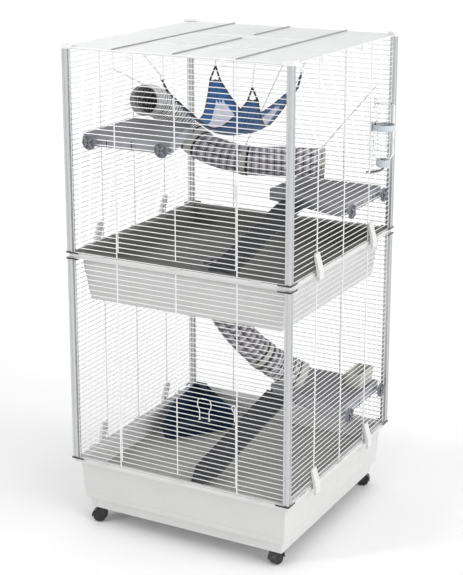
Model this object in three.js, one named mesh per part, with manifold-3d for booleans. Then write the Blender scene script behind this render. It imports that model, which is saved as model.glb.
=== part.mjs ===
// Two-storey wire cage for small pets: a deep wheeled base tray, a middle tray, eight corner posts,
// eight wire walls, a wire roof, three platforms, two ramps, two fabric tunnels and a hammock.
// Millimetres, +Z up, front towards -Y. Everything is placed from the middle of the cage; the last
// lines move the origin to the floor under the middle of the whole object.
import * as THREE from 'three';
import { mergeVertices } from 'three/addons/utils/BufferGeometryUtils.js';
import Module from 'manifold-3d';

const wasm = await Module();
wasm.setup();

// ---------------------------------------------------------------- driving dimensions
const WIDTH = 800;                 // over the tray rims, left to right
const DEPTH = 790;                 // over the tray rims, front to back
const HEIGHT = 1600;               // floor to the tops of the roof caps
const HALF_W = WIDTH / 2;
const HALF_D = DEPTH / 2;
const GAP = 0.3;                   // clearance between pieces that touch
const WIRE = 3;                    // wall wire, drawn as a square bar

const RIM = 14;                    // height of a tray's rim band
const BASE_TOP = 232;              // top of the base tray's rim
const BASE_FLOOR = 168;            // floor the animals walk on, lower storey
const BASE_STEP = 88;              // where the base tray steps in
const BASE_BOTTOM = 52;            // underside of the base tray
const MID_TOP = 935;               // top of the middle tray's rim
const MID_FLOOR = 868;             // floor of the upper storey
const MID_BOTTOM = 776;            // lower edge of the middle tray's skirt
const ROOF_Z = 1588;               // underside of the roof wires
const TRAY_CORNER = 9;             // corner radius of the rims

const POST = 20;                   // corner post, square
const POST_INSET = 4;              // post face behind the rim edge
const PANEL_INSET = POST_INSET + POST / 2;   // wall wires run in the middle of the posts
const FRONT_Y = -(HALF_D - PANEL_INSET);
const SIDE_X = HALF_W - PANEL_INSET;
const WIRES_FRONT = [-213, 0, 213];          // upright wires in the front and back walls
const WIRES_SIDE = [-200, 0, 200];           // upright wires in the side walls
const ROWS = 6;                              // rows of gaps in a plain wall

const DOOR_HALF = 210.5;
const DOOR_HEIGHT = 262;
const DOOR_LIFT = 22;              // door's lower edge above the tray rim
const DOOR_PLAY = 5;               // gap under the door, which its hinge side needs
const LATCH_X = 100;

const HOLE = { x: -26, y: -75, r: 52 };      // way down through the middle tray
const TUNNEL_R = 50;
const TUNNEL_WALL = 3;
const TUNNEL_SIDES = 12;

const PLAT = { length: 344, depth: 330, slant: 110, height: 38, skin: 4, wall: 3 };
const KNOB_PITCH = 260;
const KNOB_DROP = 22;              // knob axis below the platform's top
const RAMP = { length: 440, width: 108, tip: 34, taper: 65, thick: 5 };

const CASTER = { x: 319, y: 334, wheel: 21, trail: 12 };
const UP = new THREE.Vector3(0, 0, 1);

// ---------------------------------------------------------------- materials
function material(color, roughness, metalness = 0) {
  return new THREE.MeshStandardMaterial({ color, roughness, metalness });
}
const greyPlastic = () => material(0xd9d9d6, 0.42);
const darkPlastic = () => material(0x55554f, 0.55);
const whiteWire = () => material(0xf0f0ec, 0.35);
const postMetal = () => material(0xb4b8ba, 0.38, 0.8);
const platformPlastic = () => material(0x7d7d86, 0.5);
const rampPlastic = () => material(0x3d3f44, 0.6);
const knobPlastic = () => material(0x8b8b94, 0.45);
const blackPlastic = () => material(0x1b1b1c, 0.4);
const bowlPlastic = () => material(0xc8c8be, 0.45);
const navyPlastic = () => material(0x14304f, 0.4);
const plaidFabric = () => material(0xa9a3a8, 0.9);
const blueFabric = () => material(0x2a5a9a, 0.9);
const clearPlastic = () => material(0xdfe8ea, 0.1);

// ---------------------------------------------------------------- solid helpers
const part = new THREE.Group();

function add(name, geometry, mat) {
  const mesh = new THREE.Mesh(geometry, mat);
  mesh.name = name;
  part.add(mesh);
  return mesh;
}

function positionsOnly(geometry) {
  const copy = geometry.clone();
  copy.deleteAttribute('normal');
  copy.deleteAttribute('uv');
  return mergeVertices(copy, 1e-3);
}

// A closed three.js geometry as a solid that can be joined and cut.
function solid(geometry) {
  const merged = positionsOnly(geometry);
  const vertProperties = new Float32Array(merged.attributes.position.array);
  const triVerts = new Uint32Array(merged.index.array);
  const made = new wasm.Manifold(new wasm.Mesh({ numProp: 3, vertProperties, triVerts }));
  return made;
}

function geometryOf(manifold) {
  const mesh = manifold.getMesh();
  const geometry = new THREE.BufferGeometry();
  geometry.setAttribute('position', new THREE.BufferAttribute(mesh.vertProperties.slice(), 3));
  geometry.setIndex(new THREE.BufferAttribute(mesh.triVerts.slice(), 1));
  return geometry;
}

function join(...geometries) {
  return geometryOf(geometries.map(solid).reduce((whole, next) => whole.add(next)));
}

function cut(geometry, ...tools) {
  return geometryOf(tools.map(solid).reduce((whole, tool) => whole.subtract(tool), solid(geometry)));
}

function box(x0, x1, y0, y1, z0, z1) {
  const geometry = new THREE.BoxGeometry(x1 - x0, y1 - y0, z1 - z0);
  return geometry.translate((x0 + x1) / 2, (y0 + y1) / 2, (z0 + z1) / 2);
}

// A round bar between two points.
function rod(from, to, radius, sides = 16) {
  const axis = to.clone().sub(from);
  const geometry = new THREE.CylinderGeometry(radius, radius, axis.length(), sides);
  const turn = new THREE.Quaternion().setFromUnitVectors(new THREE.Vector3(0, 1, 0), axis.clone().normalize());
  geometry.applyQuaternion(turn);
  return geometry.translate(...from.clone().add(to).multiplyScalar(0.5).toArray());
}

function roundSection(radius, sides) {
  const shape = new THREE.Shape();
  for (let i = 0; i < sides; i += 1) {
    const turn = (2 * Math.PI * i) / sides;
    const x = radius * Math.cos(turn);
    const y = radius * Math.sin(turn);
    if (i === 0) shape.moveTo(x, y);
    else shape.lineTo(x, y);
  }
  return shape;
}

// A round bar that follows a smooth curve through the points.
function bentRod(points, radius, sides, steps, tension = 0.5) {
  const path = new THREE.CatmullRomCurve3(points, false, 'catmullrom', tension);
  const options = { steps, extrudePath: path, bevelEnabled: false };
  return new THREE.ExtrudeGeometry(roundSection(radius, sides), options);
}

// A closed skin through loops of equal length, capped at both ends. The loops are convex.
function loft(loops) {
  const count = loops[0].length;
  const positions = loops.flat().flatMap((point) => point.toArray());
  const index = [];
  for (let row = 0; row < loops.length - 1; row += 1) {
    for (let i = 0; i < count; i += 1) {
      const a = row * count + i;
      const b = row * count + ((i + 1) % count);
      index.push(a, b, b + count, a, b + count, a + count);
    }
  }
  const last = (loops.length - 1) * count;
  for (let i = 1; i < count - 1; i += 1) {
    index.push(0, i + 1, i);
    index.push(last, last + i, last + i + 1);
  }
  const geometry = new THREE.BufferGeometry();
  geometry.setAttribute('position', new THREE.Float32BufferAttribute(positions, 3));
  geometry.setIndex(index);
  return outward(geometry);
}

function signedVolume(geometry) {
  const p = geometry.attributes.position;
  const corner = [0, 1, 2].map(() => new THREE.Vector3());
  let total = 0;
  for (let i = 0; i < geometry.index.count; i += 3) {
    corner.forEach((v, k) => v.fromBufferAttribute(p, geometry.index.getX(i + k)));
    total += corner[0].dot(corner[1].clone().cross(corner[2]));
  }
  return total / 6;
}

function outward(geometry) {
  if (signedVolume(geometry) < 0) geometry.index.array.reverse();
  return geometry;
}

// A level loop around a polygon whose corners are rounded, three points to a corner.
function roundedLoop(corners, radius, z) {
  const loop = [];
  corners.forEach(([x, y], i) => {
    const before = new THREE.Vector2(...corners.at(i - 1));
    const after = new THREE.Vector2(...corners[(i + 1) % corners.length]);
    const here = new THREE.Vector2(x, y);
    const toBefore = before.sub(here).normalize();
    const toAfter = after.sub(here).normalize();
    const half = Math.acos(THREE.MathUtils.clamp(toBefore.dot(toAfter), -1, 1)) / 2;
    const back = radius / Math.tan(half);
    const start = here.clone().addScaledVector(toBefore, back);
    const end = here.clone().addScaledVector(toAfter, back);
    const bisector = toBefore.clone().add(toAfter).normalize();
    const middle = here.clone().addScaledVector(bisector, radius / Math.sin(half) - radius);
    [start, middle, end].forEach((v) => loop.push(new THREE.Vector3(v.x, v.y, z)));
  });
  return loop;
}

function trayLoop(inset, z, radius = TRAY_CORNER) {
  const x = HALF_W - inset;
  const y = HALF_D - inset;
  return roundedLoop([[-x, -y], [x, -y], [x, y], [-x, y]], radius, z);
}

// ---------------------------------------------------------------- trays
function baseTray() {
  const shell = loft([
    trayLoop(34, BASE_FLOOR - 4, 6),         // hollow underside, from its ceiling outwards
    trayLoop(32, BASE_STEP + 6, 6),
    trayLoop(42, BASE_STEP - 4, 6),
    trayLoop(42, BASE_BOTTOM, 6),
    trayLoop(39, BASE_BOTTOM, 8),            // outer face, upwards
    trayLoop(37, BASE_STEP, 8),
    trayLoop(24, BASE_STEP, 9),
    trayLoop(16, BASE_TOP - RIM, 9),
    trayLoop(0, BASE_TOP - RIM),
    trayLoop(0, BASE_TOP),
    trayLoop(27, BASE_TOP, 8),               // inner face, down to the floor
    trayLoop(33, BASE_FLOOR, 6),
  ]);
  const sockets = [-1, 1].flatMap((sx) => [-1, 1].map((sy) => {
    const foot = new THREE.Vector3(sx * CASTER.x, sy * CASTER.y, BASE_BOTTOM);
    return rod(foot, foot.clone().setZ(BASE_FLOOR - 2), 17, 12);
  }));
  return join(shell, ...sockets);
}

function throughHole(radius) {
  const low = new THREE.Vector3(HOLE.x, HOLE.y, MID_BOTTOM - 10);
  return rod(low, low.clone().setZ(MID_TOP), radius, 24);
}

function midTray() {
  const under = MID_FLOOR - 8;               // ceiling of the lower storey
  const shell = loft([
    trayLoop(30, under, 20),
    trayLoop(39, MID_BOTTOM, 20),
    trayLoop(36, MID_BOTTOM, 22),
    trayLoop(19, MID_TOP - RIM, 22),         // wide corners leave room for the lower posts
    trayLoop(0, MID_TOP - RIM),
    trayLoop(0, MID_TOP),
    trayLoop(30, MID_TOP, 12),
    trayLoop(36, under + 3.7, 12),
  ]);
  return cut(shell, throughHole(HOLE.r));
}

function midFloor() {
  const liner = loft([
    trayLoop(37, MID_FLOOR - 4, 12),
    trayLoop(31, MID_TOP - 3, 12),
    trayLoop(34, MID_TOP - 3, 10),
    trayLoop(40, MID_FLOOR, 10),
  ]);
  return cut(liner, throughHole(HOLE.r));
}

add('base_tray', baseTray(), greyPlastic());
add('mid_tray', midTray(), greyPlastic());
add('mid_floor', midFloor(), darkPlastic());

// ---------------------------------------------------------------- corner posts
// Square bar with a shallow groove down each of its two outer faces; sx and sy point outwards.
function postShape(sx, sy) {
  const h = POST / 2;
  const groove = 2;
  const outline = [
    [-h, -h], [h, -h], [h, -groove], [h - 1.5, -groove], [h - 1.5, groove], [h, groove],
    [h, h], [groove, h], [groove, h - 1.5], [-groove, h - 1.5], [-groove, h], [-h, h],
  ].map(([x, y]) => new THREE.Vector2(x * sx, y * sy));
  return new THREE.Shape(outline);
}

function addPosts(level, z0, z1) {
  for (const [side, sx] of [['left', -1], ['right', 1]]) {
    for (const [end, sy] of [['front', -1], ['back', 1]]) {
      const options = { depth: z1 - z0 - 2 * GAP, bevelEnabled: false };
      const geometry = new THREE.ExtrudeGeometry(postShape(sx, sy), options);
      geometry.translate(sx * SIDE_X, -sy * FRONT_Y, z0 + GAP);
      add(`${level}_post_${end}_${side}`, geometry, postMetal());
    }
  }
}
addPosts('lower', BASE_TOP, MID_TOP - RIM);
addPosts('upper', MID_TOP, ROOF_Z);

// ---------------------------------------------------------------- wire walls
// Wire positions that split a span into equal gaps, both ends included.
function rows(from, to, gaps) {
  return Array.from({ length: gaps + 1 }, (_, i) => from + ((to - from) * i) / gaps);
}

// The gaps between neighbouring wires, for every pair of columns and every pair of levels.
function gaps(columns, levels) {
  const holes = [];
  for (let c = 0; c < columns.length - 1; c += 1) {
    for (let r = 0; r < levels.length - 1; r += 1) {
      const [x0, x1] = [columns[c] + WIRE / 2, columns[c + 1] - WIRE / 2];
      const [y0, y1] = [levels[r] + WIRE / 2, levels[r + 1] - WIRE / 2];
      holes.push(box(x0, x1, y0, y1, -WIRE, WIRE));
    }
  }
  return holes;
}

// A flat grid in its own x and y, one wire thick.
function flatGrid(x0, x1, y0, y1, ...holes) {
  return cut(box(x0, x1, y0, y1, -WIRE / 2, WIRE / 2), ...holes.flat());
}

// Stands a grid up: its own x runs along the wall and its own y runs up.
function standUp(geometry, facing, offset) {
  geometry.rotateX(Math.PI / 2);
  if (facing === 'y') return geometry.translate(0, offset, 0);
  return geometry.rotateZ(Math.PI / 2).translate(offset, 0, 0);
}

function wallGrid(half, wires, z0, z1, opening) {
  const edge = half - WIRE / 2;
  const low = z0 + WIRE / 2;
  const high = z1 - WIRE / 2;
  const all = rows(low, high, ROWS);
  if (!opening) {
    return flatGrid(-half, half, z0, z1, gaps([-edge, ...wires, edge], all));
  }
  const [left, , right] = wires;
  const sill = opening.from - WIRE / 2;
  const lintel = opening.to + WIRE / 2;
  return flatGrid(
    -half, half, z0, z1,
    gaps([-edge, left], all),
    gaps([right, edge], all),
    gaps(wires, [low, sill]),
    gaps([left, right], [sill, lintel]),
    gaps(wires, rows(lintel, high, 4)),
  );
}

function addWalls(level, z0, z1) {
  const low = z0 + GAP;
  const high = z1 - GAP;
  const halfFront = SIDE_X - POST / 2 - GAP;
  const halfSide = -FRONT_Y - POST / 2 - GAP;
  const doorLow = z0 + DOOR_LIFT;
  const opening = { from: doorLow - DOOR_PLAY, to: doorLow + DOOR_HEIGHT + DOOR_PLAY / 2 };
  const front = wallGrid(halfFront, WIRES_FRONT, low, high, opening);
  add(`${level}_wall_front`, standUp(front, 'y', FRONT_Y), whiteWire());
  const back = wallGrid(halfFront, WIRES_FRONT, low, high);
  add(`${level}_wall_back`, standUp(back, 'y', -FRONT_Y), whiteWire());
  for (const [name, sx] of [['left', -1], ['right', 1]]) {
    const grid = wallGrid(halfSide, WIRES_SIDE, low, high);
    add(`${level}_wall_${name}`, standUp(grid, 'x', sx * SIDE_X), whiteWire());
  }
}
addWalls('lower', BASE_TOP, MID_TOP - RIM);
addWalls('upper', MID_TOP, ROOF_Z);

// ---------------------------------------------------------------- front doors and latches
function doorGrid(z0, z1) {
  const edge = DOOR_HALF - WIRE / 2;
  return flatGrid(-DOOR_HALF, DOOR_HALF, z0, z1, gaps([-edge, 0, edge], rows(z0 + WIRE / 2, z1 - WIRE / 2, 3)));
}

// U-shaped wire in front of the door: two legs that spread at a kink and close in a loop over its top.
function latch(x, doorTop) {
  const y = FRONT_Y - WIRE / 2 - 2.5;
  const leg = (side) => [[17, -54], [17, -26], [23, -14], [23, 5], [14, 14]].map(
    ([out, up]) => new THREE.Vector3(x + side * out, y, doorTop + up),
  );
  return bentRod([...leg(-1), ...leg(1).reverse()], 1.3, 6, 16, 0.25);
}

for (const [level, z0] of [['lower', BASE_TOP], ['upper', MID_TOP]]) {
  const low = z0 + DOOR_LIFT;
  add(`${level}_front_door`, standUp(doorGrid(low, low + DOOR_HEIGHT), 'y', FRONT_Y), whiteWire());
  for (const [side, sx] of [['left', -1], ['right', 1]]) {
    add(`${level}_latch_${side}`, latch(sx * LATCH_X, low + DOOR_HEIGHT), whiteWire());
  }
}

// ---------------------------------------------------------------- roof
const ROOF_DOOR = { y0: -165, y1: 97 };

const roofHalfX = SIDE_X + POST / 2;
const roofHalfY = -FRONT_Y + POST / 2;

function roofPanel() {
  const edgeX = roofHalfX - WIRE / 2;
  const edgeY = roofHalfY - WIRE / 2;
  const [left, , right] = WIRES_FRONT;
  const all = rows(-edgeY, edgeY, ROWS);
  const open = [ROOF_DOOR.y0 - 4 - WIRE / 2, ROOF_DOOR.y1 + 4 + WIRE / 2];
  const grid = flatGrid(
    -roofHalfX, roofHalfX, -roofHalfY, roofHalfY,
    gaps([-edgeX, left], all),
    gaps([right, edgeX], all),
    gaps(WIRES_FRONT, rows(-edgeY, open[0], 2)),
    gaps([left, right], open),
    gaps(WIRES_FRONT, rows(open[1], edgeY, 3)),
  );
  const caps = [-1, 1].flatMap((sx) => [-1, 1].map((sy) => cornerCap(sx, sy)));
  return join(grid.translate(0, 0, ROOF_Z + GAP + WIRE / 2), ...caps);
}

// A cap over one corner: a flat pad on the roof wires and two thin skirts down the post.
function cornerCap(sx, sy) {
  const skin = 1.6;
  const pad = 40;
  const skirt = 12;
  const span = (s, from, to) => (s > 0 ? [from, to] : [-to, -from]);
  const [x0, x1] = span(sx, roofHalfX - pad, roofHalfX + GAP + skin);
  const [y0, y1] = span(sy, roofHalfY - pad, roofHalfY + GAP + skin);
  const [sx0, sx1] = span(sx, roofHalfX + GAP, roofHalfX + GAP + skin);
  const [sy0, sy1] = span(sy, roofHalfY + GAP, roofHalfY + GAP + skin);
  return join(
    box(x0, x1, y0, y1, ROOF_Z + GAP, HEIGHT),
    box(sx0, sx1, y0, y1, ROOF_Z - skirt, HEIGHT - 1),
    box(x0, x1, sy0, sy1, ROOF_Z - skirt, HEIGHT - 1),
  );
}

function roofDoor() {
  const { y0, y1 } = ROOF_DOOR;
  return doorGrid(y0, y1).translate(0, 0, ROOF_Z + GAP + WIRE / 2);
}
add('roof_panel', roofPanel(), whiteWire());
add('roof_door', roofDoor(), whiteWire());

// ---------------------------------------------------------------- tray clips
// Lever that hooks a side wall's lowest wires and snaps down over the tray rim.
function clip(sx, y, rimTop) {
  const wide = 30;
  const outline = [
    [HALF_W + 0.5, -22], [HALF_W + 5, -26], [HALF_W + 10, -20], [HALF_W + 9, 6],
    [HALF_W + 1, 34], [HALF_W - 6, 60], [HALF_W - 11, 60], [HALF_W - 9, 40],
    [HALF_W - 3, 16], [HALF_W - 2, 1], [HALF_W + 0.5, 0.6],
  ].map(([x, z]) => new THREE.Vector2(sx * x, z));
  const profile = new THREE.ExtrudeGeometry(new THREE.Shape(outline), { depth: wide, bevelEnabled: false });
  return profile.rotateX(Math.PI / 2).translate(0, y + wide / 2, rimTop);
}
for (const [level, z0] of [['base', BASE_TOP], ['mid', MID_TOP]]) {
  for (const [side, sx] of [['left', -1], ['right', 1]]) {
    for (const [end, sy] of [['front', -1], ['back', 1]]) {
      add(`${level}_clip_${end}_${side}`, clip(sx, sy * 205, z0), greyPlastic());
    }
  }
}

// ---------------------------------------------------------------- platforms, knobs and ramps
// A platform in its own frame: x runs along the wall from the slanted end, y runs away from the wall,
// z = 0 is its top. It is an upside-down tray with a lip all round.
function platformCorners(inset) {
  const { length, depth, slant } = PLAT;
  const lean = Math.hypot(slant, depth) / depth;
  const slope = slant / depth;
  return [
    [inset * lean + inset * slope, inset],
    [length - inset, inset],
    [length - inset, depth - inset],
    [slant + inset * lean - inset * slope, depth - inset],
  ];
}

function platform() {
  const { height, skin, wall } = PLAT;
  return loft([
    roundedLoop(platformCorners(wall), 9, -skin),
    roundedLoop(platformCorners(wall), 9, -height),
    roundedLoop(platformCorners(0), 12, -height),
    roundedLoop(platformCorners(2), 12, 0),
  ]);
}

// Round grip with a crossed pair of ribs; its screw runs through the wall to the platform's lip.
function knob() {
  const toY = (y) => new THREE.Vector3(0, y, 0);
  const disc = rod(toY(-9), toY(-3), 24, 24);
  const screw = rod(toY(-4), toY(WIRE + 1.2), 4, 10);
  const rib = box(-20, 20, -15, -8, -3.5, 3.5);
  const ribs = [45, 135].map((deg) => rib.clone().rotateY(THREE.MathUtils.degToRad(deg)));
  return join(disc, screw, ...ribs);
}

// A ramp in its own frame: it hangs from the origin along -y, with its tip tapered.
function ramp() {
  const { length, width, tip, taper, thick } = RAMP;
  const half = width / 2;
  const outline = [
    [-half, 0], [-half, -(length - taper)], [-tip / 2, -length],
    [tip / 2, -length], [half, -(length - taper)], [half, 0],
  ].map(([x, y]) => new THREE.Vector2(x, y));
  const plate = new THREE.ExtrudeGeometry(new THREE.Shape(outline), { depth: thick, bevelEnabled: false });
  const treads = rows(-24, -(length - taper - 8), 9).map((y) => box(-half + 6, half - 6, y - 3, y + 3, 1, thick + 3));
  return join(plate, ...treads);
}

const SLANT_TURN = Math.atan2(PLAT.slant, PLAT.depth);

// On the right wall the platform's own x runs back and its own y runs left.
function rightWallFrame(y, top) {
  const frame = new THREE.Matrix4().makeBasis(
    new THREE.Vector3(0, 1, 0), new THREE.Vector3(-1, 0, 0), UP,
  );
  return frame.setPosition(SIDE_X - WIRE / 2 - 2.5, y, top);
}

function addRightPlatform(name, y, top, rampShare, floor) {
  add(`${name}_platform`, platform().applyMatrix4(rightWallFrame(y, top)), platformPlastic());
  for (const [end, shift] of [['front', -1], ['back', 1]]) {
    const grip = knob().rotateZ(Math.PI / 2);
    const along = y + PLAT.length / 2 + (shift * KNOB_PITCH) / 2;
    grip.translate(SIDE_X + WIRE / 2 + 1, along, top - KNOB_DROP);
    add(`${name}_knob_${end}`, grip, knobPlastic());
  }
  const hinge = new THREE.Vector3(SIDE_X - 4 - PLAT.depth * rampShare, y + PLAT.slant * rampShare, top - 16);
  const outwards = new THREE.Vector3(-Math.sin(SLANT_TURN), -Math.cos(SLANT_TURN), 0);
  hinge.addScaledVector(outwards, 8);
  const drop = Math.asin((hinge.z - floor - 1) / RAMP.length);
  const board = ramp().rotateX(drop).rotateZ(-SLANT_TURN).translate(...hinge.toArray());
  add(`${name}_ramp`, board, rampPlastic());
}
addRightPlatform('upper_right', 4, 1090, 0.57, MID_FLOOR);
addRightPlatform('lower_right', 22, 395, 0.8, BASE_FLOOR);

// On the front wall the slanted end is on the right, so the platform is turned over left to right.
const UPPER_LEFT = { x: -350, top: 1323 };
const leftPlatform = platform().applyMatrix4(new THREE.Matrix4().makeScale(-1, 1, 1));
leftPlatform.index.array.reverse();
leftPlatform.translate(UPPER_LEFT.x + PLAT.length, FRONT_Y + WIRE / 2 + 2.5, UPPER_LEFT.top);
add('upper_left_platform', leftPlatform, platformPlastic());
for (const [side, sx] of [['left', -1], ['right', 1]]) {
  const along = UPPER_LEFT.x + PLAT.length / 2 + 6 + (sx * KNOB_PITCH) / 2;
  const grip = knob().translate(along, FRONT_Y - WIRE / 2 - 1, UPPER_LEFT.top - KNOB_DROP);
  add(`upper_left_knob_${side}`, grip, knobPlastic());
}

// ---------------------------------------------------------------- casters
// Twin-wheel caster in its own frame: the swivel axis is z, the axle trails behind it at wheel height.
function casterHood() {
  const { wheel, trail } = CASTER;
  const half = 15;
  const rim = new THREE.Shape();
  rim.absarc(0, 0, wheel + 4, 0, Math.PI, false);
  rim.absarc(0, 0, wheel + 1.5, Math.PI, 0, true);
  const bend = { depth: 2 * half, bevelEnabled: false, curveSegments: 6 };
  const hood = new THREE.ExtrudeGeometry(rim, bend).translate(0, 0, -half);
  const web = new THREE.Shape().absarc(0, 0, wheel + 3, 0, 2 * Math.PI, false);
  const core = new THREE.ExtrudeGeometry(web, { depth: 5, bevelEnabled: false, curveSegments: 7 });
  core.translate(0, 0, -2.5);
  const upright = [hood, core].map((g) => g.rotateX(Math.PI / 2).translate(trail, 0, wheel));
  const neck = rod(new THREE.Vector3(0, 0, wheel + 10), new THREE.Vector3(0, 0, BASE_BOTTOM - GAP), 14, 12);
  const bore = rod(new THREE.Vector3(trail, -4, wheel), new THREE.Vector3(trail, 4, wheel), 3.8, 8);
  const ground = box(-40, 60, -20, 20, -20, 6);
  const roomForWheels = [-1, 1].map((s) => rod(
    new THREE.Vector3(trail, s * 2.9, wheel), new THREE.Vector3(trail, s * 30, wheel), wheel + 1.5, 14,
  ));
  return cut(join(...upright, neck), bore, ground, ...roomForWheels);
}

function casterWheels() {
  const { wheel, trail } = CASTER;
  const at = (y) => new THREE.Vector3(trail, y, wheel);
  return join(rod(at(-14), at(-3.2), wheel, 18), rod(at(3.2), at(14), wheel, 18), rod(at(-8), at(8), 3, 8));
}

const CASTER_TURN = { front_left: 200, front_right: 75, back_left: 150, back_right: 20 };
for (const [side, sx] of [['left', -1], ['right', 1]]) {
  for (const [end, sy] of [['front', -1], ['back', 1]]) {
    const turn = THREE.MathUtils.degToRad(CASTER_TURN[`${end}_${side}`]);
    const place = (g) => g.rotateZ(turn).translate(sx * CASTER.x, sy * CASTER.y, 0);
    add(`caster_hood_${end}_${side}`, place(casterHood()), blackPlastic());
    add(`caster_wheels_${end}_${side}`, place(casterWheels()), blackPlastic());
  }
}

// ---------------------------------------------------------------- tunnels
const vector = ([x, y, z]) => new THREE.Vector3(x, y, z);

const UPPER_TUNNEL = [
  [-300, -72, 1384], [-306, -18, 1377], [-300, 42, 1348], [-280, 88, 1302], [-250, 108, 1255],
  [-205, 112, 1222], [-143, 105, 1200], [-30, 128, 1176], [90, 187, 1172], [205, 245, 1167],
].map(vector);
const LOWER_TUNNEL = [
  [HOLE.x, HOLE.y, MID_FLOOR + GAP], [HOLE.x, HOLE.y, 790], [-8, -65, 710],
  [25, -30, 635], [64, 18, 565], [118, 66, 503], [192, 118, 452],
].map(vector);

function hose(points, steps) {
  const outer = bentRod(points, TUNNEL_R, TUNNEL_SIDES, steps);
  const path = new THREE.CatmullRomCurve3(points, false, 'catmullrom', 0.5);
  const first = points[0].clone().addScaledVector(path.getTangent(0), -8);
  const last = points.at(-1).clone().addScaledVector(path.getTangent(1), 8);
  const inner = bentRod([first, ...points, last], TUNNEL_R - TUNNEL_WALL, TUNNEL_SIDES, steps + 2);
  return cut(outer, inner);
}

// Straight chain from a ring's top to the wires that hold it.
const chain = (from, to) => rod(vector(from), vector(to), 1.4, 6);

const wallX = SIDE_X - WIRE / 2 - GAP - 1;
const upperTunnel = join(
  hose(UPPER_TUNNEL, 20),
  chain([-301, -66, 1431], [-wallX, -150, 1498]),
  chain([-30, 128, 1222], [120, 190, ROOF_Z - 1.5]),
  chain([196, 240, 1214], [wallX, 250, 1440]),
);
add('upper_tunnel', upperTunnel, plaidFabric());

const flangeLow = new THREE.Vector3(HOLE.x, HOLE.y, MID_FLOOR + GAP);
const flange = rod(flangeLow, flangeLow.clone().setZ(MID_FLOOR + 6), 62, 24);
const flangeBore = rod(flangeLow.clone().setZ(MID_FLOOR - 5), flangeLow.clone().setZ(MID_FLOOR + 12), TUNNEL_R - 4, TUNNEL_SIDES);
add('lower_tunnel', join(hose(LOWER_TUNNEL, 16), cut(flange, flangeBore)), plaidFabric());

// ---------------------------------------------------------------- hammock
const HAMMOCK = { x: -8, y: 0, low: 1299, rise: 130, arm: 212, waist: 126, armHalf: 17, thick: 4 };

// Outline radius at an angle: four arms on the diagonals, with hollow edges between them.
function hammockRadius(angle) {
  const { arm, waist, armHalf } = HAMMOCK;
  const off = Math.abs(((angle + Math.PI * 2) % (Math.PI / 2)) - Math.PI / 4);
  const tipHalf = Math.atan(armHalf / arm);
  if (off <= tipHalf) return arm / Math.cos(off);
  const share = (off - tipHalf) / (Math.PI / 4 - tipHalf);
  return waist + (arm - waist) * (1 - share) ** 2.2;
}

function hammockCloth() {
  const { x, y, low, rise, arm, thick, armHalf } = HAMMOCK;
  const tip = Math.atan(armHalf / arm);
  const offsets = [-0.3, -tip, tip, 0.3, Math.PI / 4];
  const angles = [0, 1, 2, 3].flatMap((k) => offsets.map((o) => (k * Math.PI) / 2 + Math.PI / 4 + o));
  const shares = [0.35, 0.7, 1];
  const height = (r) => low + rise * (r / arm) ** 2.1;
  const rim = angles.length;
  const skin = (lift) => [
    [x, y, low + lift],
    ...shares.flatMap((s) => angles.map((a) => {
      const r = s * hammockRadius(a);
      return [x + r * Math.cos(a), y + r * Math.sin(a), height(r) + lift];
    })),
  ];
  const below = skin(0);
  const above = skin(thick);
  const count = below.length;
  const index = [];
  const at = (ring, i) => 1 + ring * rim + (i % rim);
  for (let i = 0; i < rim; i += 1) {
    index.push(0, at(0, i + 1), at(0, i), count, count + at(0, i), count + at(0, i + 1));
    for (let ring = 0; ring < shares.length - 1; ring += 1) {
      const [a, b] = [at(ring, i), at(ring, i + 1)];
      const [c, d] = [at(ring + 1, i), at(ring + 1, i + 1)];
      index.push(a, b, d, a, d, c, count + a, count + d, count + b, count + a, count + c, count + d);
    }
    const [e, f] = [at(shares.length - 1, i), at(shares.length - 1, i + 1)];
    index.push(e, f, count + f, e, count + f, count + e);
  }
  const geometry = new THREE.BufferGeometry();
  geometry.setAttribute('position', new THREE.Float32BufferAttribute([...below, ...above].flat(), 3));
  geometry.setIndex(index);
  return outward(geometry);
}

// Strap from an arm's tip, then a chain up to the roof wires.
function hammockTie(sx, sy, roofX, roofY) {
  const { x, y, low, rise, arm } = HAMMOCK;
  const reach = (arm - 6) / Math.SQRT2;
  const tip = new THREE.Vector3(x + sx * reach, y + sy * reach, low + rise);
  const hook = new THREE.Vector3(x + sx * (reach + 14), y + sy * (reach + 26), low + rise + 46);
  const top = new THREE.Vector3(roofX, roofY, ROOF_Z - 1.5);
  return join(rod(tip, hook, 2, 6), rod(hook, top, 1.4, 6), new THREE.SphereGeometry(3, 8, 6).translate(...hook.toArray()));
}
const hammock = join(
  hammockCloth(),
  hammockTie(-1, -1, -232, -222),
  hammockTie(1, -1, 172, -186),
  hammockTie(-1, 1, -168, 186),
  hammockTie(1, 1, 188, 192),
);
add('hammock', hammock, blueFabric());

// ---------------------------------------------------------------- bowl, litter pan and bottle
const BOWL = { x: 328, y: 288, halfX: 50, halfY: 74, flare: 9, height: 54, wall: 4, corner: 20 };

function bowl(floor) {
  const { x, y, halfX, halfY, flare, height, wall, corner } = BOWL;
  const loop = (inset, z) => {
    const [w, d] = [halfX - inset, halfY - inset];
    return roundedLoop([[x - w, y - d], [x + w, y - d], [x + w, y + d], [x - w, y + d]], corner - inset / 2, z);
  };
  return loft([
    loop(flare + wall, floor + wall), loop(wall, floor + height), loop(0, floor + height), loop(flare, floor),
  ]);
}
add('bowl', bowl(395 + GAP), bowlPlastic());

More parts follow.
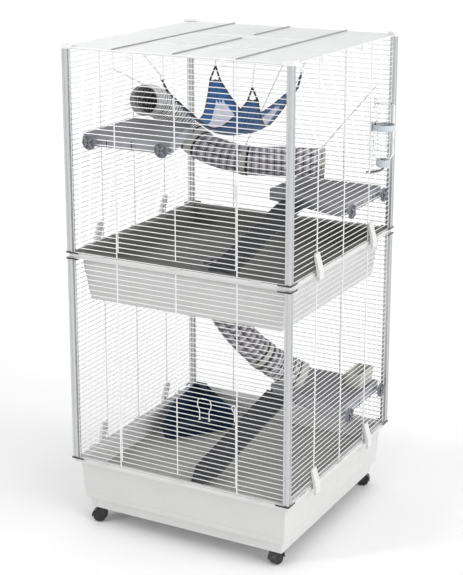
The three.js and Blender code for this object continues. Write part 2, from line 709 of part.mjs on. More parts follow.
// Corner litter pan: two high back walls in the corner of the tray, and a low front between them.
function litterPan() {
  const corners = [[-361, 356], [-298, 356], [-96, 226], [-118, 176], [-262, -14], [-302, -16], [-348, 130]];
  const tops = [262, 262, 226, 214, 214, 226, 240];
  const centre = new THREE.Vector2(-245, 170);
  const floor = BASE_FLOOR + GAP;
  const loop = (shrink, zOf) => corners.map(([x, y], i) => {
    const p = new THREE.Vector2(x, y).sub(centre);
    p.setLength(p.length() - shrink).add(centre);
    return new THREE.Vector3(p.x, p.y, zOf(i));
  });
  return loft([
    loop(20, () => floor + 3),
    loop(5, (i) => tops[i]),
    loop(0, (i) => tops[i]),
    loop(16, () => floor),
  ]);
}
add('litter_pan', litterPan(), navyPlastic());

// Drinking bottle: body, cap, a bent steel spout through the wall, and the bracket that hooks the wires.
function bottle() {
  const x = SIDE_X + 39;
  const y = 218;
  const at = (z) => new THREE.Vector3(x, y, z);
  const profile = [[0, 1392], [30, 1392], [34, 1384], [34, 1222], [22, 1208], [22, 1184], [0, 1184]];
  const lathe = new THREE.LatheGeometry(profile.reverse().map(([r, z]) => new THREE.Vector2(r, z)), 24);
  const body = lathe.rotateX(Math.PI / 2).translate(x, y, 0);
  const spout = bentRod([at(1190), at(1176), new THREE.Vector3(x - 22, y - 3, 1166), new THREE.Vector3(x - 55, y - 8, 1160)], 4, 8, 12);
  const band = cut(rod(at(1336), at(1352), 36.5, 24), rod(at(1330), at(1358), 33, 24));
  const hook = box(SIDE_X + WIRE / 2 + GAP, x - 33, y - 9, y + 9, 1338, 1350);
  return join(body, spout, band, hook);
}
add('water_bottle', bottle(), clearPlastic());

// The origin moves to the middle of everything, which the bottle and the knobs put off the cage's middle.
const middle = new THREE.Box3().setFromObject(part).getCenter(new THREE.Vector3());
part.children.forEach((mesh) => mesh.geometry.translate(-middle.x, -middle.y, 0));

export default part;
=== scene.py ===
"""The looks of a two-storey wire cage for small pets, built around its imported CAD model.

Shapes are written in millimetres from the middle of the cage's foot, the way the CAD places them,
and turned into metres in the row frame when a mesh is made.
"""

import math

import bpy
from mathutils import Matrix, Vector, noise


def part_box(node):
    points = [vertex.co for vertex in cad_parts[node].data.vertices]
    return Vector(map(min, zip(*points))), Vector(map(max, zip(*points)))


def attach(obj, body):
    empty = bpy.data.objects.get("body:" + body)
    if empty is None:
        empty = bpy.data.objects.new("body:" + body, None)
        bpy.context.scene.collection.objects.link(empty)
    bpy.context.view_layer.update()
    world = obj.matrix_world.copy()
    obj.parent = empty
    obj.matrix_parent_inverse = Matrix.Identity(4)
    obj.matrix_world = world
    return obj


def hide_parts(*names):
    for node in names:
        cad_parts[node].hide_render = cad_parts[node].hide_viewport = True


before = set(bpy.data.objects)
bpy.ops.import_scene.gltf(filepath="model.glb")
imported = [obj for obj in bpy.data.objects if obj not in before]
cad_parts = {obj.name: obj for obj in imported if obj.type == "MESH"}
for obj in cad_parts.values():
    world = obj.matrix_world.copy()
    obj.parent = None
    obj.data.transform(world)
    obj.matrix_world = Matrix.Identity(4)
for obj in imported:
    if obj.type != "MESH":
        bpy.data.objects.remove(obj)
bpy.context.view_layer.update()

# ---------------------------------------------------------------- sizes, in millimetres
HALF_W, HALF_D = 400.0, 395.0
RIM = 14.0
BASE_TOP, BASE_FLOOR, BASE_STEP, BASE_BOTTOM = 232.0, 168.0, 88.0, 52.0
MID_TOP, MID_FLOOR, MID_BOTTOM = 935.0, 868.0, 776.0
ROOF_Z = 1588.3
SIDE_X, FRONT_Y = 386.0, -381.0
POST = 20.0
GAP = 0.3
WALL_TOP = {"lower": MID_TOP - RIM, "upper": ROOF_Z - GAP}
WALL_LOW = {"lower": BASE_TOP, "upper": MID_TOP}
PITCH = 16.2                       # between neighbouring wall wires
THIN, THICK = 1.35, 2.1            # radii of the row wires and of the uprights
ROD, LATCH = 2.3, 1.3              # radii of the roof's rods and of the bent latches
DOOR_HALF, DOOR_LIFT, DOOR_HEIGHT = 210.5, 22.0, 262.0
ROOF_DOOR_Y = (-165.0, 97.0)
HINGE_CLEAR = (52.0, 32.0)         # the middle roof rod's gap before and behind the roof door's hinge
BESIDE_DOOR = 213.0                # the uprights and rods that flank the doors
HOLE = (-26.0, -75.0, 52.0)        # the way through the middle tray: x, y and radius
TUNNEL_R = 50.0
CASTER_X, CASTER_Y = 319.0, 334.0
CAP_TOP = 1598.5                   # the highest point, on the roof's corner caps
CORNERS = ((-1, -1), (-1, 1), (1, -1), (1, 1))

_low, _high = (Vector(corner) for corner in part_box("base_tray"))
MIDDLE = (_low + _high) / 2
MIDDLE.z = 0.0


def place(point):
    """Millimetres from the middle of the cage to metres in the row frame."""
    return Vector(point) / 1000 + MIDDLE


# ---------------------------------------------------------------- shapes
class Shape:
    """Vertices and faces gathered piece by piece. cloth holds (across, along) for each face corner."""

    def __init__(self):
        self.verts = []
        self.faces = []
        self.cloth = []

    def add(self, verts, faces, cloth=None):
        start = len(self.verts)
        self.verts += [Vector(v) for v in verts]
        self.faces += [tuple(start + i for i in face) for face in faces]
        if cloth:
            self.cloth += cloth
        return self

    def moved(self, matrix):
        self.verts = [matrix @ v for v in self.verts]
        return self


def make(name, shape, material, body="cage", replaces=(), bevel=0.0, angle=35):
    """Turns a shape into an object that rides on a body."""
    mesh = bpy.data.meshes.new(name)
    mesh.from_pydata([place(v) for v in shape.verts], [], shape.faces)
    mesh.validate()
    mesh.shade_smooth()
    mesh.set_sharp_from_angle(angle=math.radians(angle))
    if shape.cloth:
        flat = [value / 1000 for pair in shape.cloth for value in pair]
        mesh.attributes.new("cloth", "FLOAT2", "CORNER").data.foreach_set("vector", flat)
    mesh.materials.append(material)
    obj = bpy.data.objects.new(name, mesh)
    bpy.context.collection.objects.link(obj)
    if bevel:
        round_edges(obj, bevel)
    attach(obj, body)
    if replaces:
        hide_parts(*replaces)
    return obj


def round_edges(obj, width, segments=2):
    """A fine bevel on every hard edge; width in millimetres."""
    bevel = obj.modifiers.new("soft_edges", "BEVEL")
    bevel.width = width / 1000
    bevel.segments = segments
    bevel.limit_method = "ANGLE"
    bevel.angle_limit = math.radians(40)
    bevel.harden_normals = False


def sweep_frames(points, closed=False):
    """(point, normal, binormal) along a path, turning as little as it can."""
    points = [Vector(p) for p in points]
    count = len(points)
    frames = []
    normal = None
    for i, point in enumerate(points):
        before = points[i - 1] if i or closed else point
        after = points[(i + 1) % count] if i + 1 < count or closed else point
        tangent = (after - before).normalized()
        if normal is None:
            helper = Vector((0, 0, 1)) if abs(tangent.z) < 0.9 else Vector((1, 0, 0))
            normal = tangent.cross(helper)
        normal = (normal - tangent * normal.dot(tangent)).normalized()
        frames.append((point, normal, tangent.cross(normal)))
    return frames


def tube(points, radius, sides=8, closed=False):
    """A round bar along a path. radius is one number or one for each point."""
    frames = sweep_frames(points, closed)
    radii = radius if isinstance(radius, (list, tuple)) else [radius] * len(frames)
    loops = []
    for (point, normal, side), r in zip(frames, radii):
        loops.append([point + (normal * math.cos(t) + side * math.sin(t)) * r for t in turns_round(sides)])
    return loft(loops, closed)


def loft(loops, closed=False):
    """A skin through loops of equal length, with flat ends unless it closes on itself."""
    count = len(loops[0])
    verts = [v for loop in loops for v in loop]
    faces = []
    rows = len(loops)
    for row in range(rows if closed else rows - 1):
        here, there = row * count, ((row + 1) % rows) * count
        for i in range(count):
            j = (i + 1) % count
            faces.append((here + i, here + j, there + j, there + i))
    if not closed:
        faces.append(tuple(reversed(range(count))))
        faces.append(tuple((rows - 1) * count + i for i in range(count)))
    return verts, faces


def rod(start, end, radius, sides=8):
    """A straight bar whose ends are slightly rounded over."""
    start, end = Vector(start), Vector(end)
    nose = (end - start).normalized() * radius * 0.5
    return tube([start, start + nose, end - nose, end], [radius * 0.55, radius, radius, radius * 0.55], sides)


def curve(points, step=3.0):
    """A smooth path through the points, its points about one step apart."""
    points = [Vector(p) for p in points]
    padded = [points[0] * 2 - points[1], *points, points[-1] * 2 - points[-2]]
    path = []
    for a, b, c, d in zip(padded, padded[1:], padded[2:], padded[3:]):
        count = max(2, round((c - b).length / step))
        for i in range(count):
            t = i / count
            m0, m1 = (c - a) / 2, (d - b) / 2
            path.append(b * (2 * t**3 - 3 * t**2 + 1) + m0 * (t**3 - 2 * t**2 + t)
                        + c * (3 * t**2 - 2 * t**3) + m1 * (t**3 - t**2))
    return [*path, points[-1]]


def rounded(corners, radius, steps=6):
    """A flat polygon with its corners rounded, as (x, y) pairs."""
    outline = []
    corners = [Vector(c) for c in corners]
    for i, here in enumerate(corners):
        to_before = (corners[i - 1] - here).normalized()
        to_after = (corners[(i + 1) % len(corners)] - here).normalized()
        half = to_before.angle(to_after) / 2
        centre = here + (to_before + to_after).normalized() * radius / math.sin(half)
        start = here + to_before * radius / math.tan(half) - centre
        end = here + to_after * radius / math.tan(half) - centre
        for k in range(steps + 1):
            spoke = start.slerp(end, k / steps) if start.angle(end) > 1e-4 else start
            outline.append(centre + spoke)
    return outline


def tray_loop(inset, z, radius):
    """A level ring inside the tray's rim."""
    x, y = HALF_W - inset, HALF_D - inset
    return [(p.x, p.y, z) for p in rounded([(-x, -y), (x, -y), (x, y), (-x, y)], radius, 8)]


def block(x0, x1, y0, y1, z0, z1):
    """A rectangular bar, which its caller bevels or builds into a larger moulding."""
    loops = [[(x0, y0, z), (x1, y0, z), (x1, y1, z), (x0, y1, z)] for z in (z0, z1)]
    return loft(loops)


def turns_round(count):
    """Angles evenly spaced around a full turn."""
    return [2 * math.pi * k / count for k in range(count)]


def lathe(profile, sides=32, middle=(0, 0), closed=False):
    """A turned shape about an upright axis through the middle, from (radius, z) pairs."""
    x, y = middle
    turns = turns_round(sides)
    return loft([[(x + r * math.cos(t), y + r * math.sin(t), z) for t in turns] for r, z in profile], closed)


def ring(centre, axis, radius, thick, turns=24, sides=8):
    """A wire ring around an axis."""
    axis = Vector(axis).normalized()
    across = axis.orthogonal().normalized()
    other = axis.cross(across)
    centre = Vector(centre)
    loop = [centre + (across * math.cos(t) + other * math.sin(t)) * radius for t in turns_round(turns)]
    return tube(loop, thick, sides, closed=True)


# ---------------------------------------------------------------- materials
def new_material(name, roughness, **sockets):
    """A material whose shader has these constant values."""
    material = bpy.data.materials.new(name)
    material.use_nodes = True
    shader = material.node_tree.nodes["Principled BSDF"]
    shader.inputs["Roughness"].default_value = roughness
    for socket, value in sockets.items():
        shader.inputs[socket.replace("_", " ")].default_value = value
    return material


def node(material, kind, **settings):
    """A new shader node with these settings."""
    made = material.node_tree.nodes.new(kind)
    for key, value in settings.items():
        setattr(made, key, value)
    return made


def link(material, source, target):
    material.node_tree.links.new(source, target)


def shader_of(material):
    return material.node_tree.nodes["Principled BSDF"]


def noise_node(material, scale, detail=4.0, stretch=(1, 1, 1)):
    """Noise in the object's own space; scale is in features to a metre."""
    coordinates = node(material, "ShaderNodeTexCoord")
    mapping = node(material, "ShaderNodeMapping")
    mapping.inputs["Scale"].default_value = stretch
    texture = node(material, "ShaderNodeTexNoise")
    texture.inputs["Scale"].default_value = scale
    texture.inputs["Detail"].default_value = detail
    link(material, coordinates.outputs["Object"], mapping.inputs["Vector"])
    link(material, mapping.outputs["Vector"], texture.inputs["Vector"])
    return texture.outputs["Fac"]


def ramp(material, value, stops, interpolation="LINEAR"):
    """A colour ramp from (position, colour) stops."""
    made = node(material, "ShaderNodeValToRGB")
    made.color_ramp.interpolation = interpolation
    elements = made.color_ramp.elements
    while len(elements) < len(stops):
        elements.new(0.5)
    for element, (position, colour) in zip(elements, stops):
        element.position = position
        element.color = (*colour, 1.0)
    link(material, value, made.inputs["Fac"])
    return made.outputs["Color"]


def mixed(material, blend, factor, a, b):
    """Mixes two colours; factor, a and b are sockets or constants."""
    made = node(material, "ShaderNodeMix", data_type="RGBA", blend_type=blend)
    for socket, value in ((made.inputs[0], factor), (made.inputs[6], a), (made.inputs[7], b)):
        if isinstance(value, bpy.types.NodeSocket):
            link(material, value, socket)
        else:
            socket.default_value = value
    return made.outputs[2]


def bump(material, height, distance, strength=1.0):
    """Bump in millimetres, chained onto any bump already there."""
    made = node(material, "ShaderNodeBump")
    made.inputs["Strength"].default_value = strength
    made.inputs["Distance"].default_value = distance / 1000
    link(material, height, made.inputs["Height"])
    target = shader_of(material).inputs["Normal"]
    if target.is_linked:
        link(material, target.links[0].from_socket, made.inputs["Normal"])
    link(material, made.outputs["Normal"], target)


def vary_roughness(material, value, low, high):
    """Lets a 0 to 1 value move the roughness between two limits."""
    made = node(material, "ShaderNodeMapRange")
    made.inputs["To Min"].default_value = low
    made.inputs["To Max"].default_value = high
    link(material, value, made.inputs["Value"])
    link(material, made.outputs["Result"], shader_of(material).inputs["Roughness"])


def shaded(colour, factor):
    """A colour made lighter or darker, kept below full white."""
    return tuple(min(1.0, c * factor) for c in colour)


def worn_edges(material, base, light, amount):
    """Lightens the hard edges a little, as handling does."""
    geometry = node(material, "ShaderNodeNewGeometry")
    mask = ramp(material, geometry.outputs["Pointiness"], [(0.52, (0, 0, 0)), (0.62, (amount,) * 3)])
    return mixed(material, "MIX", mask, base, (*light, 1.0))


def moulded(name, colour, roughness, grain=0.05, wear=0.25, coat=0.0):
    """Moulded plastic: faint flow marks, fine grain, uneven gloss and rubbed edges."""
    material = new_material(name, roughness, Coat_Weight=coat, Coat_Roughness=0.2)
    flow = noise_node(material, 7.0, 3.0, (1, 1, 2.5))
    tone = ramp(material, flow, [(0.3, shaded(colour, 0.98)), (0.7, shaded(colour, 1.015))])
    scuffs = noise_node(material, 55.0, 8.0, (1, 1, 0.3))
    marks = ramp(material, scuffs, [(0.62, (1, 1, 1)), (0.80, (0.965, 0.965, 0.965))])
    tone = mixed(material, "MULTIPLY", 1.0, tone, marks)
    tone = worn_edges(material, tone, shaded(colour, 1.25), wear)
    link(material, tone, shader_of(material).inputs["Base Color"])
    vary_roughness(material, noise_node(material, 30.0, 5.0), roughness * 0.82, roughness * 1.25)
    bump(material, noise_node(material, 1400.0, 2.0), grain)
    bump(material, noise_node(material, 12.0, 2.0), grain * 4, 0.5)
    return material


def painted_shade_on_tops(material, factor):
    """Darkens the faces that look up: painted shade on the deck's top, with its sides kept lighter."""
    shader = shader_of(material)
    up = node(material, "ShaderNodeSeparateXYZ")
    link(material, node(material, "ShaderNodeNewGeometry").outputs["Normal"], up.inputs["Vector"])
    mask = ramp(material, up.outputs["Z"], [(0.80, (1, 1, 1)), (0.95, factor)])
    base = shader.inputs["Base Color"].links[0].from_socket
    link(material, mixed(material, "MULTIPLY", 1.0, base, mask), shader.inputs["Base Color"])


def coated_wire(name, colour):
    """Thick white coating over steel wire: slightly uneven, with a soft shine."""
    material = new_material(name, 0.32, Coat_Weight=0.35, Coat_Roughness=0.15)
    tone = ramp(material, noise_node(material, 18.0), [(0.3, shaded(colour, 0.95)), (0.7, colour)])
    link(material, tone, shader_of(material).inputs["Base Color"])
    vary_roughness(material, noise_node(material, 120.0), 0.25, 0.42)
    bump(material, noise_node(material, 420.0, 2.0), 0.12)
    return material


def metal(name, colour, roughness, stretch=(60, 60, 1)):
    """Satin metal with fine drawn lines along it."""
    material = new_material(name, roughness, Metallic=1.0)
    lines = noise_node(material, 40.0, 6.0, stretch)
    tone = ramp(material, lines, [(0.3, shaded(colour, 0.9)), (0.7, shaded(colour, 1.06))])
    link(material, tone, shader_of(material).inputs["Base Color"])
    vary_roughness(material, lines, roughness * 0.8, roughness * 1.25)
    bump(material, lines, 0.02, 0.6)
    return material


def stripes(material, vector, axis, period, stops, offset=0.0):
    """Repeating stripes across one cloth axis; period in millimetres."""
    parts = node(material, "ShaderNodeSeparateXYZ")
    link(material, vector, parts.inputs["Vector"])
    scaled = node(material, "ShaderNodeMath", operation="MULTIPLY_ADD")
    scaled.inputs[1].default_value = 1000.0 / period
    scaled.inputs[2].default_value = offset
    link(material, parts.outputs[axis], scaled.inputs[0])
    fraction = node(material, "ShaderNodeMath", operation="FRACT")
    link(material, scaled.outputs[0], fraction.inputs[0])
    return ramp(material, fraction.outputs[0], stops)


def weave(material, vector, pitch, depth):
    """Over-and-under threads at the given pitch in millimetres."""
    heights = []
    for direction in ("X", "Y"):
        wave = node(material, "ShaderNodeTexWave", wave_type="BANDS", bands_direction=direction)
        wave.inputs["Scale"].default_value = 2 * math.pi / (20 * pitch / 1000)
        wave.inputs["Distortion"].default_value = 0.6
        link(material, vector, wave.inputs["Vector"])
        heights.append(wave.outputs["Fac"])
    product = node(material, "ShaderNodeMath", operation="MULTIPLY")
    link(material, heights[0], product.inputs[0])
    link(material, heights[1], product.inputs[1])
    bump(material, product.outputs[0], depth)


def plaid_cloth(name, brightness, plain_until):
    """Checked cloth of the tunnels; the first stretch, up to plain_until in metres, is nearly plain."""
    material = new_material(name, 0.85, Sheen_Weight=0.25, Sheen_Roughness=0.5)
    vector = node(material, "ShaderNodeAttribute", attribute_name="cloth").outputs["Vector"]
    white, grey, dark, lilac = (1, 1, 1), (0.50, 0.49, 0.51), (0.14, 0.14, 0.155), (0.56, 0.53, 0.57)
    around = stripes(material, vector, "Y", 24.0, [
        (0.0, white), (0.14, white), (0.18, grey), (0.36, grey), (0.40, dark), (0.50, dark), (0.54, lilac),
        (0.80, lilac), (0.84, white)])
    along = stripes(material, vector, "X", 31.4, [
        (0.0, white), (0.24, white), (0.28, lilac), (0.50, lilac), (0.54, dark), (0.62, dark), (0.66, white)])
    tone = mixed(material, "MULTIPLY", 1.0, around, along)
    tone = mixed(material, "MULTIPLY", 1.0, tone, (brightness, brightness * 0.985, brightness, 1))
    if plain_until:
        parts = node(material, "ShaderNodeSeparateXYZ")
        link(material, vector, parts.inputs["Vector"])
        fade = node(material, "ShaderNodeMapRange")
        fade.inputs["From Min"].default_value = plain_until
        fade.inputs["From Max"].default_value = plain_until - 0.01
        fade.inputs["To Max"].default_value = 0.5
        link(material, parts.outputs["Y"], fade.inputs["Value"])
        tone = mixed(material, "MIX", fade.outputs["Result"], tone, (0.20, 0.20, 0.205, 1))
    worn = ramp(material, noise_node(material, 40.0), [(0.3, (0.9, 0.9, 0.9)), (0.7, (1, 1, 1))])
    tone = mixed(material, "MULTIPLY", 1.0, tone, worn)
    link(material, tone, shader_of(material).inputs["Base Color"])
    weave(material, vector, 1.1, 0.35)
    bump(material, noise_node(material, 160.0, 3.0), 0.5, 0.6)
    return material


def cloth(name, colour, light, pitch=1.0):
    """Plain woven cloth whose folds catch the light."""
    material = new_material(name, 0.8, Sheen_Weight=0.35, Sheen_Roughness=0.45)
    vector = node(material, "ShaderNodeAttribute", attribute_name="cloth").outputs["Vector"]
    tone = ramp(material, noise_node(material, 24.0, 5.0), [(0.3, colour), (0.7, light)])
    thread = ramp(material, noise_node(material, 1500.0, 1.0), [(0.3, (0.88,) * 3), (0.7, (1, 1, 1))])
    tone = mixed(material, "MULTIPLY", 1.0, tone, thread)
    link(material, tone, shader_of(material).inputs["Base Color"])
    weave(material, vector, pitch, 0.3)
    bump(material, noise_node(material, 70.0, 3.0), 1.2, 0.7)
    return material


GREY = moulded("grey_moulding", (0.60, 0.60, 0.595), 0.42, coat=0.1)
CLIP = moulded("clip_moulding", (0.62, 0.62, 0.615), 0.42)
LINER = moulded("dark_liner", (0.125, 0.125, 0.114), 0.5)
# painted shade: the base tray's floor is the same light grey plastic as the tray, coloured darker for the
# shade under the middle tray
FLOOR_PAINTED_SHADE = moulded("tray_floor_painted_shade", (0.36, 0.362, 0.345), 0.5)
WIRE = coated_wire("white_coating", (0.80, 0.805, 0.805))
ROD_GREY = coated_wire("grey_coating", (0.26, 0.26, 0.26))
POST_METAL = metal("post_metal", (0.60, 0.61, 0.62), 0.38)
STEEL = metal("bright_steel", (0.72, 0.72, 0.72), 0.2, (8, 8, 8))
DARK_STEEL = metal("spout_steel", (0.22, 0.22, 0.23), 0.28, (8, 8, 8))
PLATFORM = moulded("platform_moulding", (0.31, 0.31, 0.34), 0.45)
# painted shade: the platforms' upward faces are coloured darker than their sides
painted_shade_on_tops(PLATFORM, (0.56, 0.56, 0.54))
SEAM = moulded("seam_black", (0.03, 0.03, 0.035), 0.5)
KNOB = moulded("knob_moulding", (0.165, 0.17, 0.19), 0.42)
RAMP = moulded("ramp_moulding", (0.060, 0.062, 0.068), 0.5)
BLACK = moulded("black_moulding", (0.013, 0.013, 0.014), 0.35, coat=0.3)
TYRE = moulded("tyre_moulding", (0.022, 0.022, 0.023), 0.6)
WHITE = moulded("white_moulding", (0.80, 0.80, 0.79), 0.4)
BOWL = moulded("bowl_moulding", (0.47, 0.475, 0.43), 0.42)
NAVY = moulded("navy_moulding", (0.001, 0.017, 0.048), 0.36, coat=0.1)
BAND = moulded("band_moulding", (0.42, 0.42, 0.395), 0.45)
CAP_BLUE = moulded("cap_moulding", (0.24, 0.29, 0.34), 0.4)
BOTTLE_GREY = moulded("bottle_moulding", (0.52, 0.57, 0.61), 0.3, coat=0.3)
PLAID = plaid_cloth("plaid_cloth", 0.76, 0.30)
PLAID_DARK = plaid_cloth("plaid_cloth_lower", 0.62, 0.0)
BLUE = cloth("blue_cloth", (0.004, 0.064, 0.20), (0.010, 0.105, 0.31))
LILAC = cloth("pad_cloth", (0.50, 0.51, 0.60), (0.66, 0.67, 0.76), 1.6)
PIPING = cloth("black_piping", (0.010, 0.010, 0.012), (0.03, 0.03, 0.035), 0.8)


# ---------------------------------------------------------------- trays
def base_tray():
    """Outside and inside of the base tray as one turned-over skin, its caster bosses and its floor."""
    loops = [
        tray_loop(34, BASE_FLOOR - 4, 6), tray_loop(33, BASE_STEP + 4, 6), tray_loop(42, BASE_STEP - 4, 6),
        tray_loop(42, BASE_BOTTOM + 1, 6), tray_loop(41, BASE_BOTTOM, 7), tray_loop(40, BASE_BOTTOM, 7),
        tray_loop(39, BASE_BOTTOM + 1.5, 8), tray_loop(37, BASE_STEP - 1.5, 8), tray_loop(35.5, BASE_STEP, 8),
        tray_loop(25.5, BASE_STEP, 8), tray_loop(24, BASE_STEP + 1.8, 9), tray_loop(23.2, 104, 9),
        tray_loop(24.2, 105.5, 9), tray_loop(24.0, 108, 9), tray_loop(22.8, 109.5, 9),
        tray_loop(16.2, 214, 9), tray_loop(14.5, 218, 9), tray_loop(1.8, 218, 9),
        tray_loop(0, 219.8, 10), tray_loop(0, 229.5, 10), tray_loop(2.5, BASE_TOP, 9),
        tray_loop(8, BASE_TOP, 8), tray_loop(9, BASE_TOP - 1.6, 8),
        tray_loop(11, BASE_TOP - 1.6, 8), tray_loop(12, BASE_TOP, 8), tray_loop(24, BASE_TOP, 8),
        tray_loop(27, BASE_TOP - 2.5, 8), tray_loop(31.8, BASE_FLOOR + 5, 7),
        tray_loop(33.5, BASE_FLOOR + 1, 6), tray_loop(37, BASE_FLOOR, 5),
    ]
    shape = Shape().add(*loft(loops))
    boss = [(15.5, BASE_BOTTOM + 1), (17, BASE_BOTTOM + 3), (17, BASE_FLOOR - 3)]
    for sx, sy in CORNERS:
        shape.add(*lathe(boss, middle=(sx * CASTER_X, sy * CASTER_Y)))
    make("base_tray_moulding", shape, GREY, replaces=["base_tray"])
    # The floor plate's darker colour is painted shade from the middle tray above it.
    floor = Shape().add(*loft([tray_loop(37.5, BASE_FLOOR + 0.05, 5), tray_loop(37.8, BASE_FLOOR + 0.25, 5)]))
    for x in (-205, -155):
        floor.add(*block(x - 2.5, x + 2.5, -352, 352, BASE_FLOOR + 0.2, BASE_FLOOR + 1.6))
    make("base_tray_floor", floor, FLOOR_PAINTED_SHADE)


def hole_loop(loop, radius, z):
    """The point of the round hole nearest in direction to each point of a tray loop."""
    points = []
    for x, y, _ in loop:
        turn = math.atan2(y - HOLE[1], x - HOLE[0])
        points.append((HOLE[0] + radius * math.cos(turn), HOLE[1] + radius * math.sin(turn), z))
    return points


def mid_trays():
    """The middle tray and the dark liner in it, both with the round way through."""
    under = MID_FLOOR - 8
    around = tray_loop(30, under, 20)
    loops = [
        hole_loop(around, HOLE[2] + 1, under), around, tray_loop(38.8, MID_BOTTOM + 2, 20),
        tray_loop(38.4, MID_BOTTOM, 20), tray_loop(37, MID_BOTTOM, 21), tray_loop(35.8, MID_BOTTOM + 1.8, 22),
        tray_loop(33.0, MID_BOTTOM + 24, 22), tray_loop(31.6, MID_BOTTOM + 26, 22),
        tray_loop(19.6, MID_TOP - RIM - 4, 22), tray_loop(18, MID_TOP - RIM, 22),
        tray_loop(1.8, MID_TOP - RIM, 9), tray_loop(0, MID_TOP - RIM + 1.8, 10),
        tray_loop(0, MID_TOP - 2.5, 10), tray_loop(2.5, MID_TOP, 9),
        tray_loop(27.5, MID_TOP, 9), tray_loop(30, MID_TOP - 2.5, 9), tray_loop(36, under + 4, 9),
        hole_loop(around, HOLE[2] + 1, under + 3.7),
    ]
    make("mid_tray_moulding", Shape().add(*loft(loops, closed=True)), GREY, replaces=["mid_tray"])
    outer = tray_loop(40, MID_FLOOR - 4, 12)
    liner = [
        hole_loop(outer, HOLE[2], MID_FLOOR - 4), outer, tray_loop(37, MID_FLOOR, 12),
        tray_loop(30.4, MID_TOP + 0.02, 12), tray_loop(7, MID_TOP + 0.02, 8), tray_loop(7, MID_TOP + 0.26, 8),
        tray_loop(32.4, MID_TOP + 0.26, 11), tray_loop(34, MID_TOP - 4, 10),
        tray_loop(39.5, MID_FLOOR + 5, 10), tray_loop(41, MID_FLOOR + 1.2, 9), tray_loop(45, MID_FLOOR, 8),
        hole_loop(outer, HOLE[2], MID_FLOOR),
    ]
    shape = Shape().add(*loft(liner, closed=True))
    make("mid_floor_liner", shape, LINER, replaces=["mid_floor"])


def rim_tabs():
    """Small raised tabs on the rims, where the walls' lower wires snap in."""
    shape = Shape()
    for top in (BASE_TOP, MID_TOP):
        for x in (-280, 0, 280):
            for sy in (-1, 1):
                y = sy * (HALF_D - 6)
                shape.add(*block(x - 18, x + 18, y - 1.5, y + 1.5, top - 0.5, top + 3.5))
        for y in (-280, 0, 280):
            for sx in (-1, 1):
                x = sx * (HALF_W - 6)
                shape.add(*block(x - 1.5, x + 1.5, y - 18, y + 18, top - 0.5, top + 3.5))
    make("rim_tabs", shape, GREY, bevel=0.8)


base_tray()
mid_trays()
rim_tabs()


# ---------------------------------------------------------------- posts and their connectors
def posts():
    """Square posts with a groove down each outer face."""
    half, slot, deep = POST / 2, 2.2, 1.6
    for level, z0 in WALL_LOW.items():
        for side, sx in (("left", -1), ("right", 1)):
            for end, sy in (("front", -1), ("back", 1)):
                outline = [(-half, -half), (half - 1, -half), (half, -half + 1), (half, -slot),
                           (half - deep, -slot), (half - deep, slot), (half, slot), (half, half - 1),
                           (half - 1, half), (slot, half), (slot, half - deep), (-slot, half - deep),
                           (-slot, half), (-half + 1, half), (-half, half - 1)]
                x, y = sx * SIDE_X, -sy * FRONT_Y
                levels = (z0 + GAP, z0 + GAP + 0.6, WALL_TOP[level] - GAP - 0.6, WALL_TOP[level] - GAP)
                loops = [[(x + sx * a, y + sy * b, z) for a, b in outline] for z in levels]
                name = f"{level}_post_{end}_{side}"
                make(f"{name}_bar", Shape().add(*loft(loops)), POST_METAL, replaces=[name],
                     bevel=0.4)


def connectors():
    """Black angle pieces that hold the posts to the rims."""
    reach, thick, tall = 44, 1.8, 5
    for name, z in (("base", BASE_TOP + 0.4), ("under", MID_TOP - RIM - 0.4 - tall), ("mid", MID_TOP + 0.4)):
        shape = Shape()
        for sx, sy in CORNERS:
            x, y = sx * (SIDE_X + POST / 2 + 0.4), sy * (-FRONT_Y + POST / 2 + 0.4)
            outline = [(0, 0), (-reach, 0), (-reach, thick), (thick, thick), (thick, -reach), (0, -reach)]
            shape.add(*loft([[(x + sx * a, y + sy * b, h) for a, b in outline] for h in (z, z + tall)]))
        make(f"{name}_connectors", shape, BLACK, bevel=0.7)


posts()
connectors()


# ---------------------------------------------------------------- wire walls
def levels_between(low, high):
    """Heights of the row wires between two heights, evenly spaced at about the wall's pitch."""
    count = round((high - low) / PITCH)
    return [low + (high - low) * i / count for i in range(count + 1)]


def upright(on_wall, along, z0, z1, radius=THICK, lift=1.3):
    """An upright wire; lift is how far it stands outside the rows."""
    return rod(on_wall(along, lift, z0), on_wall(along, lift, z1), radius)


def wall_points(wall):
    """A function from (along, outwards, z) on a wall to a point."""
    def on_wall(along, out, z):
        if wall in ("front", "back"):
            sign = -1 if wall == "front" else 1
            return (along, sign * (-FRONT_Y + out), z)
        sign = -1 if wall == "left" else 1
        return (sign * (SIDE_X + out), along, z)
    return on_wall


